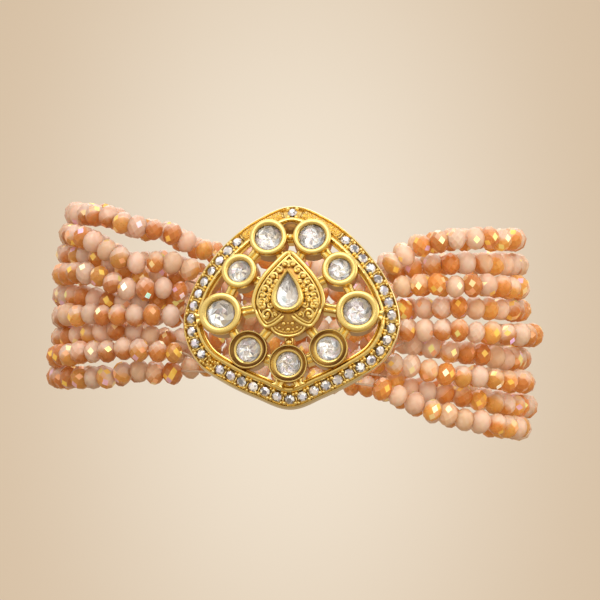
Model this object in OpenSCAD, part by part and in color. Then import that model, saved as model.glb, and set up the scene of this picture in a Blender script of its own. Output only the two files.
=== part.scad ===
// Kundan bracelet: a domed, pierced gilt centre plate set with clear stones,
// on nine strands of faceted glass beads that go once round the wrist.
// The wrist goes through along Z, and the plate faces -Y. Lengths are millimetres.

/* [Loop of strands] */
// Half the width of the loop on the left, to the middle of the top strand
reach_left = 30.25; // [30:0.05:31]
// The same on the right
reach_right = 30.7; // [30.5:0.1:31.5]
// Half the depth of the loop, front to back
loop_half_d = 18; // [17.5:0.5:20]
// How square the loop is in plan, where 2 is an ellipse
loop_square = 3; // [2.8:0.1:3.2]
// How far the loop's front comes forward for each millimetre to the right
loop_skew = 0.09; // [0.07:0.01:0.1]
// Distance of each layer of strands from the middle of the loop's front wall
layer_offset = 1.35; // [1.35:0.05:1.5]
// The same at the loop's sides
layer_offset_side = 0.3; // [0.3:0.05:0.6]
// The same at the loop's back
layer_offset_back = 1.45; // [1.45:0.05:1.6]

/* [Beads] */
// Largest diameter of a bead
bead_d = 2.75; // [2.6:0.05:2.75]
// Length of a bead along its thread
bead_len = 2.15; // [2:0.05:2.15]
// Nominal spacing of the beads along a strand
bead_pitch = 2.5; // [2.5:0.05:2.6]
// Diameter of the hole through a bead
bead_bore_d = 1; // [0.8:0.05:1]
// Diameter of the elastic thread
thread_d = 0.3; // [0.2:0.05:0.3]

/* [Centre plate] */
// Radius of the ball that the plate's rim follows
dome_r = 28; // [27.5:0.5:29]
// Distance of the rim's middle in front of the loop's middle
plate_reach = 21.6; // [21.4:0.1:22]
// How far the plate's face leans up, in degrees
plate_tilt = 15; // [13:1:16]
// How far the plate's face turns left, in degrees
plate_turn = 7; // [5:1:8]
// How far the plate is rolled anticlockwise, in degrees
plate_roll = 1; // [0:0.5:2]
// Thickness of the rim
rim_t = 1.2; // [1.1:0.1:1.4]
// Width of the rim's outer lip
lip_w = 0.45; // [0.4:0.05:0.5]
// Distance of the rim's inner wire from the plate's edge
wire_inset = 1.95; // [1.9:0.05:2]
// Width of the rim's inner wire
wire_w = 0.6; // [0.5:0.05:0.7]
// Depth of the channel that holds the small stones
channel_depth = 0.45; // [0.4:0.05:0.5]

/* [Stones] */
// Clearance between a stone and its setting
stone_gap = 0.06; // [0.05:0.01:0.1]
// Diameter of the small stones in the rim
pave_d = 1.2; // [1:0.05:1.3]
// Number of small stones on each side of the rim's lower tip
pave_half_count = 18; // [16:1:18]

/* [Hidden] */

GILT = [0.93, 0.72, 0.25];
CLEAR = [0.93, 0.95, 0.97];
PEACH = [0.86, 0.62, 0.50];
AMBER = [0.80, 0.47, 0.22];
ELASTIC = [0.92, 0.90, 0.86];

// Radius of the plate's edge at every 20 degrees, from its top tip down to its bottom tip
EDGE_RADII = [14.45, 13.45, 12.88, 13.05, 14.1, 15.29, 15.08, 13.99, 13.72, 14.43];
edge_step = 20;

// Round settings of the plate's left half and its middle: across, up, outer radius, stone radius
SETTINGS = [
    ["top", 3.05, 9.3, 2.65, 1.8],
    ["upper", 7, 4.5, 2.5, 1.55],
    ["side", 9.55, -1.5, 3, 1.95],
    ["lower", 5.6, -6.8, 2.6, 1.6],
];
BOTTOM_SETTING = ["bottom", 0, -8.9, 2.6, 1.6];

// Half outline of the raised drop in the middle, from its apex down to its fan
DROP_HALF = [[0, 7.4], [1.6, 5.7], [3.4, 3.6], [4.6, 1.4], [4.95, -0.4], [4.3, -2],
    [3.1, -3.6], [1.6, -4.6], [0, -4.8]];

// Granules of the drop: across, up, radius
GRANULES = [[0, 5.6, 0.5], [1.4, 4.5, 0.42], [2.3, 3.5, 0.42], [3.1, 2.4, 0.42], [3.7, 1.3, 0.42],
    [4, 0.1, 0.42], [3.6, -1, 0.45], [2.9, -1.9, 0.55], [2.2, -2.9, 0.6], [0, -3.9, 0.45],
    [1, -3.4, 0.42]];
drop_crown_r = 15;
drop_top = 0.2;

// Bars that join the drop and the settings, as pairs of points in the plate: across, up
BARS = [
    [[-1, 9.3], [1, 9.3]],
    [[1.9, 7.8], [0.8, 5.8]],
    [[5.5, 3.7], [3.2, 2.6]],
    [[7, -1.1], [4.4, -0.6]],
    [[4.2, -5.4], [2.6, -3.4]],
    [[4.6, 7.5], [5.8, 6]],
    [[7.8, 2.6], [8.6, 0.9]],
    [[8, -3.5], [7, -5.1]],
    [[3.6, -7.6], [1.8, -8.3]],
    [[0, -6.7], [0, -4.2]],
    [[11.8, -1.8], [12.8, -2]],
    [[6.8, -8.3], [7.1, -8.8]],
    [[1.2, -11], [1.5, -11.7]],
];
bar_w = 1.1;
bar_top = -2;
bar_base = -3.9;

// Rail behind the rim on each side, which the strands are tied to
rail_out = 0.9;
rail_in = 2.4;
rail_base = -7.3;
rail_hole_w = -6.6;
rail_hole_d = 0.8;
rail_end = 7;
rail_steps = 17;
// First hole's angle and the angle between holes, for the left and the right rail
RAIL_LEFT = [36, 9];
RAIL_RIGHT = [26, 9.5];

rim_middle_w = -3.7;
plate_base = -4.4;
setting_rise = 0.75;
setting_crown_r = 60;
setting_lean = 0.7;
seat_depth = 1.2;
pear_w = 3.2;
pear_h = 4.9;
pear_up = 1.1;
pear_top = 1.35;
pave_inset = 1.2;
missing_stone = -7;

strand_count = 9;
strand_r = bead_d / 2;
station_first = 12;
station_step = 5;
back_swing = 1;
layer_swap = 6;
lead_length = 13;
rail_drop = 0.8;
rail_spread = 0.3;
bead_end_r = 0.2 * bead_d;
thread_lead = 0.25;
ring_sides = 8;

// Heights of the strands, top strand first, where they are 12, 17, 22, 27 and 32 mm to the left
// of the plate's middle, then the place of the first bead, then how much further than the top
// strand the loop reaches
LEFT_HEIGHTS = [
    [7.6, 10, 10.9, 12.6, 12.8, 12.3, 0],
    [4.4, 6.2, 6.2, 9.25, 10.1, 13.9, -0.1],
    [2.8, 4.1, 4.2, 6.6, 7.15, 16.2, 1.1],
    [1.2, 2.4, 2.4, 4.5, 4.25, 15, 0.8],
    [-0.4, 0.7, 0.6, 0.9, 1.42, 16.1, 1.6],
    [-2, -1.1, -1.4, -1.2, -1.43, 16.5, 1.05],
    [-4.4, -4.6, -3.6, -3.4, -4.22, 17.3, 1.95],
    [-6.3, -6.4, -6, -6.3, -7.03, 15.9, 1.65],
    [-8.2, -9.1, -9.1, -9.9, -9.85, 16.6, 2.35],
];

// The same for the right side
RIGHT_HEIGHTS = [
    [5, 8, 9.1, 9.4, 9, 13.6, 0],
    [3.5, 5.3, 5.8, 6.1, 5.5, 14.8, 0.3],
    [2, 2.9, 2.8, 2.9, 2.45, 15, 0.4],
    [-0.8, -0.4, -0.2, -0.2, -0.6, 15.9, 0.7],
    [-3.8, -3.4, -3.3, -3.7, -4.1, 15.5, 2.1],
    [-5.5, -5.2, -6.2, -6.7, -7.4, 17.2, 0.7],
    [-7.7, -8.4, -9.5, -9.9, -10.4, 14, 1.3],
    [-9.3, -11.4, -12.1, -13.1, -13.8, 14.4, 1.6],
    [-11.3, -13.6, -15.2, -16.3, -16.9, 12.4, 0.6],
];
first_bead = 5;
extra_reach = 6;

function mix(a, b, t) = a + (b - a) * t;
function ease(t) = let (u = max(0, min(1, t))) u * u * (3 - 2 * u);
function unit(v) = v / norm(v);

// Smooth curve through four neighbouring values, at t from 0 to 1 between the middle two
function spline(a, b, c, d, t) =
    b + 0.5 * t * (c - a + t * (2 * a - 5 * b + 4 * c - d + t * (3 * (b - c) + d - a)));

// Distance along a line of points to each of its points
function lengths(p) =
    [for (i = 0, s = 0; i < len(p); s = s + (i < len(p) - 1 ? norm(p[i + 1] - p[i]) : 0), i = i + 1) s];

// Point and direction at a distance along a line of points
function along(p, total, s) =
    let (i = max(0, min(len(p) - 2, len([for (v = total) if (v <= s) v]) - 1)),
         t = (s - total[i]) / (total[i + 1] - total[i]))
    [mix(p[i], p[i + 1], t), unit(p[i + 1] - p[i])];

// Edge of the plate: radius at an angle from the plate's right, mirrored left to right
function edge_index(k) = let (m = abs(k)) EDGE_RADII[m > 9 ? 18 - m : m];
function edge_r(a) =
    let (f = abs(90 - (a > 90 ? 180 - a : (a < -90 ? -180 - a : a))) / edge_step, k = floor(f), t = f - k)
    spline(edge_index(k - 1), edge_index(k), edge_index(k + 1), edge_index(k + 2), t);
function edge_raw(a) = edge_r(a) * [cos(a), sin(a)];
function edge_point(a, inset) =
    let (d = edge_raw(a + 1) - edge_raw(a - 1), n = unit([d.y, -d.x])) edge_raw(a) - inset * n;
function edge_normal(a) = let (d = edge_raw(a + 1) - edge_raw(a - 1)) unit([d.y, -d.x]);
function edge_loop(inset, steps = 90) =
    [for (i = [0:steps - 1]) edge_point(-180 + 360 * i / steps + 0.5, inset)];

// Height of a ball of radius r, whose top is at height 0, at a distance d from its middle
function ball_drop(r, d) = sqrt(r * r - d * d) - r;

// Closed smooth outline through a half outline and its mirror image, moved in by an inset
function mirrored(half) =
    concat(half, [for (i = [len(half) - 2:-1:1]) [-half[i].x, half[i].y]]);
function smooth_loop(p, steps) =
    let (n = len(p))
    [for (i = [0:n - 1], j = [0:steps - 1])
        spline(p[(i + n - 1) % n], p[i], p[(i + 1) % n], p[(i + 2) % n], j / steps)];
function inset_loop(p, inset) =
    let (n = len(p))
    [for (i = [0:n - 1])
        let (d = p[(i + 1) % n] - p[(i + n - 1) % n]) p[i] - inset * unit([-d.y, d.x])];

// Outline of the pear stone, with its point up
function pear(grow, steps = 36) =
    [for (i = [0:steps - 1])
        let (t = 360 * (i + 0.5) / steps)
        [-(pear_w / 2 + grow) * 1.19 * sin(t) * pow(sin(t / 2), 1.1),
         pear_up + (pear_h / 2 + grow * 1.15) * cos(t)]];

// Plan of a strand's loop: point and outward direction at an angle, 270 degrees being the front
function reach(i, side) =
    side < 0 ? reach_left + LEFT_HEIGHTS[i][extra_reach] : reach_right + RIGHT_HEIGHTS[i][extra_reach];
function loop_point(i, a) =
    let (c = cos(a), s = sin(a),
         k = pow(pow(abs(c), loop_square) + pow(abs(s), loop_square), -1 / loop_square))
    [reach(i, sign(c)) * c * k, loop_half_d * s * k];
function loop_out(i, p) =
    let (w = reach(i, sign(p.x)))
    unit([sign(p.x) * pow(abs(p.x) / w, loop_square - 1) / w,
          sign(p.y) * pow(abs(p.y) / loop_half_d, loop_square - 1) / loop_half_d]);

// Angle of a loop's front at a distance x to the right of the plate's middle
function front_angle(i, x) =
    let (u = x / reach(i, sign(x)), v = -pow(1 - pow(abs(u), loop_square), 1 / loop_square)) atan2(v, u);

// Point of the plate carried to its place in the bracelet
function rot_z(p, a) = [p.x * cos(a) - p.y * sin(a), p.x * sin(a) + p.y * cos(a), p.z];
function rot_x(p, a) = [p.x, p.y * cos(a) - p.z * sin(a), p.y * sin(a) + p.z * cos(a)];
function on_plate(p) =
    rot_z(rot_x(rot_z(p - [0, 0, rim_middle_w], plate_roll), 90 - plate_tilt), -plate_turn)
    + [0, -plate_reach, 0];
module on_plate() {
    translate([0, -plate_reach, 0]) rotate([0, 0, -plate_turn]) rotate([90 - plate_tilt, 0, 0])
        rotate([0, 0, plate_roll]) translate([0, 0, -rim_middle_w]) children();
}

// Place of a strand's hole in the rail, with side -1 for the left and 1 for the right
function rail_angle(i, side) =
    side < 0 ? 180 - (RAIL_LEFT[0] - RAIL_LEFT[1] * i) : RAIL_RIGHT[0] - RAIL_RIGHT[1] * i;
function rail_point(i, side, inset) =
    let (p = edge_point(rail_angle(i, side), inset)) on_plate([p.x, p.y, rail_hole_w]);

// Height of a strand at a point of the loop's plan
function station(row, k) = row[max(0, min(4, k))];
function front_height(row, x) =
    let (f = max(0, min(3.999, (x - station_first) / station_step)), k = floor(f))
    spline(station(row, k - 1), station(row, k), station(row, k + 1), station(row, k + 2), f - k);
function strand_height(i, p) =
    let (l = LEFT_HEIGHTS[i], r = RIGHT_HEIGHTS[i])
    p.y < 0 || abs(p.x) > station_first ? front_height(p.x < 0 ? l : r, abs(p.x))
        : spline(r[0] + back_swing * (l[1] - l[0]), l[0], r[0], l[0] + back_swing * (r[1] - r[0]),
                 (p.x + station_first) / (2 * station_first));

// Layer of a strand: outer strands alternate, and they change places at the right end of the loop
function layer_side(i, p) =
    (i % 2 == 0 ? -1 : 1) * (p.x < 0 ? 1 : sin(90 * max(-1, min(1, p.y / layer_swap))));

// Middle of a strand at an angle of the loop, led behind the rim beside the plate
function strand_point(i, a) =
    let (p = loop_point(i, a), depth = ease(abs(p.y) / (0.75 * loop_half_d)),
         lead = p.y < 0 ? 1 - ease((abs(p.x) - station_first) / lead_length) : 0,
         layer = mix(layer_offset_side, p.y < 0 ? layer_offset : layer_offset_back, depth)
             + rail_spread * lead,
         q = p + layer * layer_side(i, p) * loop_out(i, p),
         front = -loop_half_d - layer_offset - rail_spread,
         shift = mix(-loop_skew * p.x, rail_point(i, sign(p.x), rail_out).y + rail_drop - front, lead))
    [q.x, q.y + shift, strand_height(i, p)];

// Line of the beads of a strand, from its first bead on the left to its last on the right
strand_steps = 150;
function strand_line(i) =
    let (from = 360 + front_angle(i, -LEFT_HEIGHTS[i][first_bead]),
         to = front_angle(i, RIGHT_HEIGHTS[i][first_bead]))
    [for (k = [0:strand_steps]) strand_point(i, mix(from, to, k / strand_steps))];

// Rings of a tube round a line: each is a middle, a direction and a radius
function ring(c, r) =
    let (side = unit(cross(c[1], [0, 0, 1])), up = cross(side, c[1]))
    [for (j = [0:ring_sides - 1])
        c[0] + r * (cos(360 * j / ring_sides) * side + sin(360 * j / ring_sides) * up)];

// Thread's bare stretch, from inside its hole in the rail to the face of the first bead
function tail(i, side, bead) =
    let (inner = rail_point(i, side, rail_in - 0.4), outer = rail_point(i, side, rail_out - 0.5),
         face = bead[0] - (bead_len / 2 + thread_lead) * bead[1])
    [[inner, unit(outer - inner)], [outer, unit(face - outer)], [face, bead[1]]];
function turned_back(rings) =
    [for (k = [len(rings) - 1:-1:0]) [rings[k][0], -rings[k][1]]];

// Rings of a whole strand: both bare stretches and a number of even steps along its beads
function strand_rings(i, steps) =
    let (line = strand_line(i), total = lengths(line), whole = total[strand_steps],
         last = along(line, total, whole))
    concat(tail(i, -1, along(line, total, 0)),
        [for (k = [0:steps - 1]) along(line, total, whole * k / (steps - 1))],
        turned_back(tail(i, 1, [last[0], -last[1]])));

module tube(centres, radii) {
    n = len(centres);
    points = [for (k = [0:n - 1]) each ring(centres[k], radii[k])];
    walls = [for (k = [0:n - 2], j = [0:ring_sides - 1])
        let (a = k * ring_sides + j, b = k * ring_sides + (j + 1) % ring_sides)
        each [[a, a + ring_sides, b], [b, a + ring_sides, b + ring_sides]]];
    caps = [[for (j = [0:ring_sides - 1]) j],
            [for (j = [ring_sides - 1:-1:0]) (n - 1) * ring_sides + j]];
    polyhedron(points, concat(walls, caps));
}

module bead() {
    hole = bead_bore_d / 2;
    rotate_extrude($fn = 24)
        polygon([[hole, -bead_len / 2], [bead_end_r, -bead_len / 2], [strand_r, -0.15 * bead_len],
            [strand_r, 0.15 * bead_len], [bead_end_r, bead_len / 2], [hole, bead_len / 2]]);
}

// Direction of a bead: the chord of the line over its own length, or the line's end direction
function bead_axis(line, total, s) =
    s <= 0 || s >= total[strand_steps] ? along(line, total, s)[1]
        : unit(along(line, total, s + bead_len / 2)[0] - along(line, total, s - bead_len / 2)[0]);

function bead_count(i) = round(lengths(strand_line(i))[strand_steps] / bead_pitch);

module beads(i) {
    line = strand_line(i);
    total = lengths(line);
    count = bead_count(i);
    color(PEACH) for (k = [0:count]) {
        s = total[strand_steps] * k / count;
        axis = bead_axis(line, total, s);
        translate(along(line, total, s)[0])
            rotate([0, acos(axis.z), atan2(axis.y, axis.x)]) bead();
    }
}

// Elastic of a strand, with a ring in the middle of each bead
module thread(i) {
    centres = strand_rings(i, bead_count(i) + 1);
    color(ELASTIC) tube(centres, [for (c = centres) thread_d / 2]);
}

// Strand drawn as one smooth tube of its beads' diameter, on its own thread's ends
module strand_tube(i, steps = 56) {
    end = [thread_d / 2, thread_d / 2, bead_end_r];
    color(AMBER) tube(strand_rings(i, steps),
        concat(end, [for (k = [1:steps]) strand_r], [end[2], end[1], end[0]]));
}

module edge_ring(outer, inner) {
    translate([0, 0, -9]) linear_extrude(12) difference() {
        polygon(edge_loop(outer));
        polygon(edge_loop(inner));
    }
}

// Shell between two balls that share the middle of the plate's dome
module dome_shell(top, base) {
    translate([0, 0, -dome_r]) difference() {
        sphere(dome_r + top, $fn = 96);
        sphere(dome_r + base, $fn = 96);
    }
}

module rim() {
    intersection() {
        edge_ring(0, wire_inset + wire_w + 0.25);
        dome_shell(-channel_depth, -rim_t);
    }
    intersection() {
        edge_ring(0, lip_w);
        dome_shell(0, -rim_t + 0.1);
    }
    intersection() {
        edge_ring(wire_inset, wire_inset + wire_w);
        dome_shell(0.3, -rim_t + 0.1);
    }
}

module rail(side) {
    first = rail_angle(0, side) + side * rail_end;
    last = rail_angle(strand_count - 1, side) - side * rail_end;
    angles = [for (k = [0:rail_steps]) mix(first, last, k / rail_steps)];
    difference() {
        intersection() {
            translate([0, 0, rail_base]) linear_extrude(-rail_base) polygon(concat(
                [for (a = angles) edge_point(a, rail_out)],
                [for (k = [rail_steps:-1:0]) edge_point(angles[k], rail_in)]));
            translate([0, 0, -dome_r]) sphere(dome_r - rim_t + 0.3, $fn = 96);
        }
        for (i = [0:strand_count - 1]) {
            a = rail_angle(i, side);
            p = edge_point(a, rail_in + 0.6);
            n = edge_normal(a);
            translate([p.x, p.y, rail_hole_w]) rotate([0, 90, atan2(n.y, n.x)])
                cylinder(h = rail_in - rail_out + 1.2, d = rail_hole_d, $fn = 16);
        }
    }
}

// Top of a setting that stands at a distance from the plate's middle
function setting_top(d) = setting_rise - 0.9 + ball_drop(setting_crown_r, d);

module at_setting(s) {
    d = norm([s[1], s[2]]);
    translate([s[1], s[2], setting_top(d)])
        rotate([0, 0, atan2(s[2], s[1])]) rotate([0, setting_lean * d, 0]) children();
}

// Flat seat that is cut in a setting for its stone
module seat_cut(s) {
    at_setting(s) translate([0, 0, -seat_depth]) cylinder(h = 3, r = s[4] + stone_gap, $fn = 48);
}

// Round setting with a rounded rim
module setting(s) {
    r = s[3];
    seat = s[4] + stone_gap;
    band = (r - seat) / 2;
    high = 3.1;
    at_setting(s) rotate_extrude($fn = 48) polygon(concat(
        [[0, -high], [r, -high], [r, -band]],
        [for (k = [1:7]) [r - band + band * cos(180 * k / 8), -band + band * sin(180 * k / 8)]],
        [[seat, -band], [0, -band]]));
}

module bar(from, to) {
    d = to - from;
    translate([from.x, from.y, bar_base]) rotate([0, 0, atan2(d.y, d.x)])
        translate([0, -bar_w / 2, 0]) cube([norm(d), bar_w, bar_top - bar_base]);
}

module drop_cap(rise) {
    translate([0, 1, drop_top - drop_crown_r]) sphere(drop_crown_r + rise, $fn = 96);
}

module drop_slab(inset) {
    translate([0, 0, plate_base]) linear_extrude(8)
        polygon(inset_loop(smooth_loop(mirrored(DROP_HALF), 4), inset));
}

// Raised drop with a plain edge, granules inside it and a setting for the pear stone
module drop() {
    intersection() {
        drop_slab(0);
        drop_cap(0);
    }
    intersection() {
        difference() {
            drop_slab(0);
            drop_slab(0.45);
        }
        drop_cap(0.35);
    }
    for (g = GRANULES, m = g.x == 0 ? [1] : [-1, 1])
        translate([m * g.x, g.y, drop_top + ball_drop(drop_crown_r, norm([g.x, g.y - 1]))])
            sphere(g[2], $fn = 24);
    translate([0, 0, plate_base]) linear_extrude(pear_top - plate_base) polygon(pear(0.95));
}

module centre_setting() {
    color(GILT) on_plate() difference() {
        union() {
            rim();
            rail(-1);
            rail(1);
            for (s = SETTINGS) {
                setting(s);
                mirror([1, 0, 0]) setting(s);
            }
            setting(BOTTOM_SETTING);
            for (b = BARS) {
                bar(b[0], b[1]);
                mirror([1, 0, 0]) bar(b[0], b[1]);
            }
            drop();
        }
        for (s = SETTINGS) {
            seat_cut(s);
            mirror([1, 0, 0]) seat_cut(s);
        }
        seat_cut(BOTTOM_SETTING);
        translate([0, 0, pear_top - seat_depth]) linear_extrude(4) polygon(pear(1.5 * stone_gap));
    }
}

// Cut stone with a flat table, kite facets round it and a flat back
module cut_stone(r, n = 10, table = 0.55, crown = 0.45, back = 0.5, foot = 0.5) {
    tilt = 180 / n;
    points = concat(
        [for (k = [0:n - 1]) [table * r * cos(2 * tilt * k), table * r * sin(2 * tilt * k), crown]],
        [for (k = [0:2 * n - 1]) [r * cos(tilt * k), r * sin(tilt * k), 0]],
        [for (k = [0:n - 1]) [foot * r * cos(2 * tilt * k), foot * r * sin(2 * tilt * k), -back]]);
    faces = concat(
        [[for (k = [n - 1:-1:0]) k], [for (k = [0:n - 1]) 3 * n + k]],
        [for (k = [0:n - 1])
            let (t0 = k, t1 = (k + 1) % n, g0 = n + 2 * k, g1 = g0 + 1, g2 = n + (2 * k + 2) % (2 * n),
                 b0 = 3 * n + k, b1 = 3 * n + (k + 1) % n)
            each [[t0, g1, g0], [t0, t1, g1], [t1, g2, g1], [b0, g0, g1], [b0, g1, b1], [b1, g1, g2]]]);
    polyhedron(points, faces);
}

module round_stone(s) {
    color(CLEAR) on_plate() at_setting(s) translate([0, 0, 0.5 + stone_gap - seat_depth])
        cut_stone(s[4], n = 10);
}

module pear_stone() {
    outer = pear(0);
    n = len(outer);
    middle = [0, pear_up - 0.35];
    low = pear_top - seat_depth + stone_gap;
    points = concat(
        [for (p = outer) let (q = middle + 0.55 * (p - middle)) [q.x, q.y, low + 1.05]],
        [for (p = outer) [p.x, p.y, low + 0.55]],
        [for (p = outer) let (q = middle + 0.7 * (p - middle)) [q.x, q.y, low]]);
    faces = concat(
        [[for (k = [n - 1:-1:0]) k], [for (k = [0:n - 1]) 2 * n + k]],
        [for (b = [0, n], k = [0:n - 1])
            let (k1 = (k + 1) % n) each [[b + k, b + k1, b + n + k], [b + k1, b + n + k1, b + n + k]]]);
    color(CLEAR) on_plate() polyhedron(points, faces);
}

// Small stones at even steps along the rim's channel, from one upper side to the other
module pave_stones() {
    upper_end = 50;
    line = [for (k = [0:60]) edge_point(mix(-90, upper_end, k / 60), pave_inset)];
    total = lengths(line);
    whole = total[len(total) - 1];
    places = concat(
        [for (k = [-pave_half_count:pave_half_count]) if (k != missing_stone)
            let (p = along(line, total, whole * abs(k) / pave_half_count)[0]) [sign(k + 0.5) * p.x, p.y]],
        [edge_point(90, pave_inset)]);
    color(CLEAR) on_plate() for (p = places) {
        d = norm(p);
        lean = asin(d / dome_r);
        translate([0, 0, -dome_r]) rotate([0, 0, atan2(p.y, p.x)]) rotate([0, lean, 0])
            translate([0, 0, dome_r - channel_depth + stone_gap + 0.3])
            cut_stone(pave_d / 2, n = 8, table = 0.55, crown = 0.22, back = 0.3, foot = 0.5);
    }
}

module stone(name) {
    for (s = SETTINGS) {
        if (name == str("stone_", s[0], "_right")) round_stone(s);
        if (name == str("stone_", s[0], "_left")) round_stone([s[0], -s[1], s[2], s[3], s[4]]);
    }
    if (name == "stone_bottom") round_stone(BOTTOM_SETTING);
}

// Strands whose beads are drawn one by one, on a thread of their own
BEADED = [0, 4, 8];
module strand(i) {
    if (len(search(i, BEADED)) > 0) beads(i);
    else strand_tube(i);
}

centre_setting();
pave_stones();
pear_stone();
stone("stone_top_left");  // stone_top_left
stone("stone_top_right");  // stone_top_right
stone("stone_upper_left");  // stone_upper_left
stone("stone_upper_right");  // stone_upper_right
stone("stone_side_left");  // stone_side_left
stone("stone_side_right");  // stone_side_right
stone("stone_lower_left");  // stone_lower_left
stone("stone_lower_right");  // stone_lower_right
stone("stone_bottom");  // stone_bottom
strand(0);  // bead_strand_1
strand(1);  // bead_strand_2
strand(2);  // bead_strand_3
strand(3);  // bead_strand_4
strand(4);  // bead_strand_5
strand(5);  // bead_strand_6
strand(6);  // bead_strand_7
strand(7);  // bead_strand_8
strand(8);  // bead_strand_9
thread(0);  // thread_1
thread(4);  // thread_5
thread(8);  // thread_9
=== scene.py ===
"""Kundan bracelet: the looks of its gilt centre plate, clear stones and strands of faceted glass beads."""

import logging
import math
from dataclasses import dataclass
from enum import Enum

import bpy
import numpy as np
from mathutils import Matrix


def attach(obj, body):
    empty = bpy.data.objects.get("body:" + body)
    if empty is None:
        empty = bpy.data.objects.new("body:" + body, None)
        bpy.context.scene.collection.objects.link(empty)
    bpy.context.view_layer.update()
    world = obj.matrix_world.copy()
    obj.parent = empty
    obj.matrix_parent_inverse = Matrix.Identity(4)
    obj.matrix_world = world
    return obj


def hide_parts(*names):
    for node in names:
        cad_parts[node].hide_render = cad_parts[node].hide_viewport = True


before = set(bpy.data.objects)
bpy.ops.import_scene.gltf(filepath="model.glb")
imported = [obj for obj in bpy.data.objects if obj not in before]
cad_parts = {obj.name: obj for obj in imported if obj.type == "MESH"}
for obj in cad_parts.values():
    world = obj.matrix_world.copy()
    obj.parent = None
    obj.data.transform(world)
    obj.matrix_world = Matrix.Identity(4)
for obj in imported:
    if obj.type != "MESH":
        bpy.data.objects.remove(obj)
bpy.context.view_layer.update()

log = logging.getLogger("bracelet")

MM = 0.001
SEED = 20
SMOOTH_ANGLE = math.radians(42)
UP = np.array([0, 0, 1.0])


# Surfaces


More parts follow.
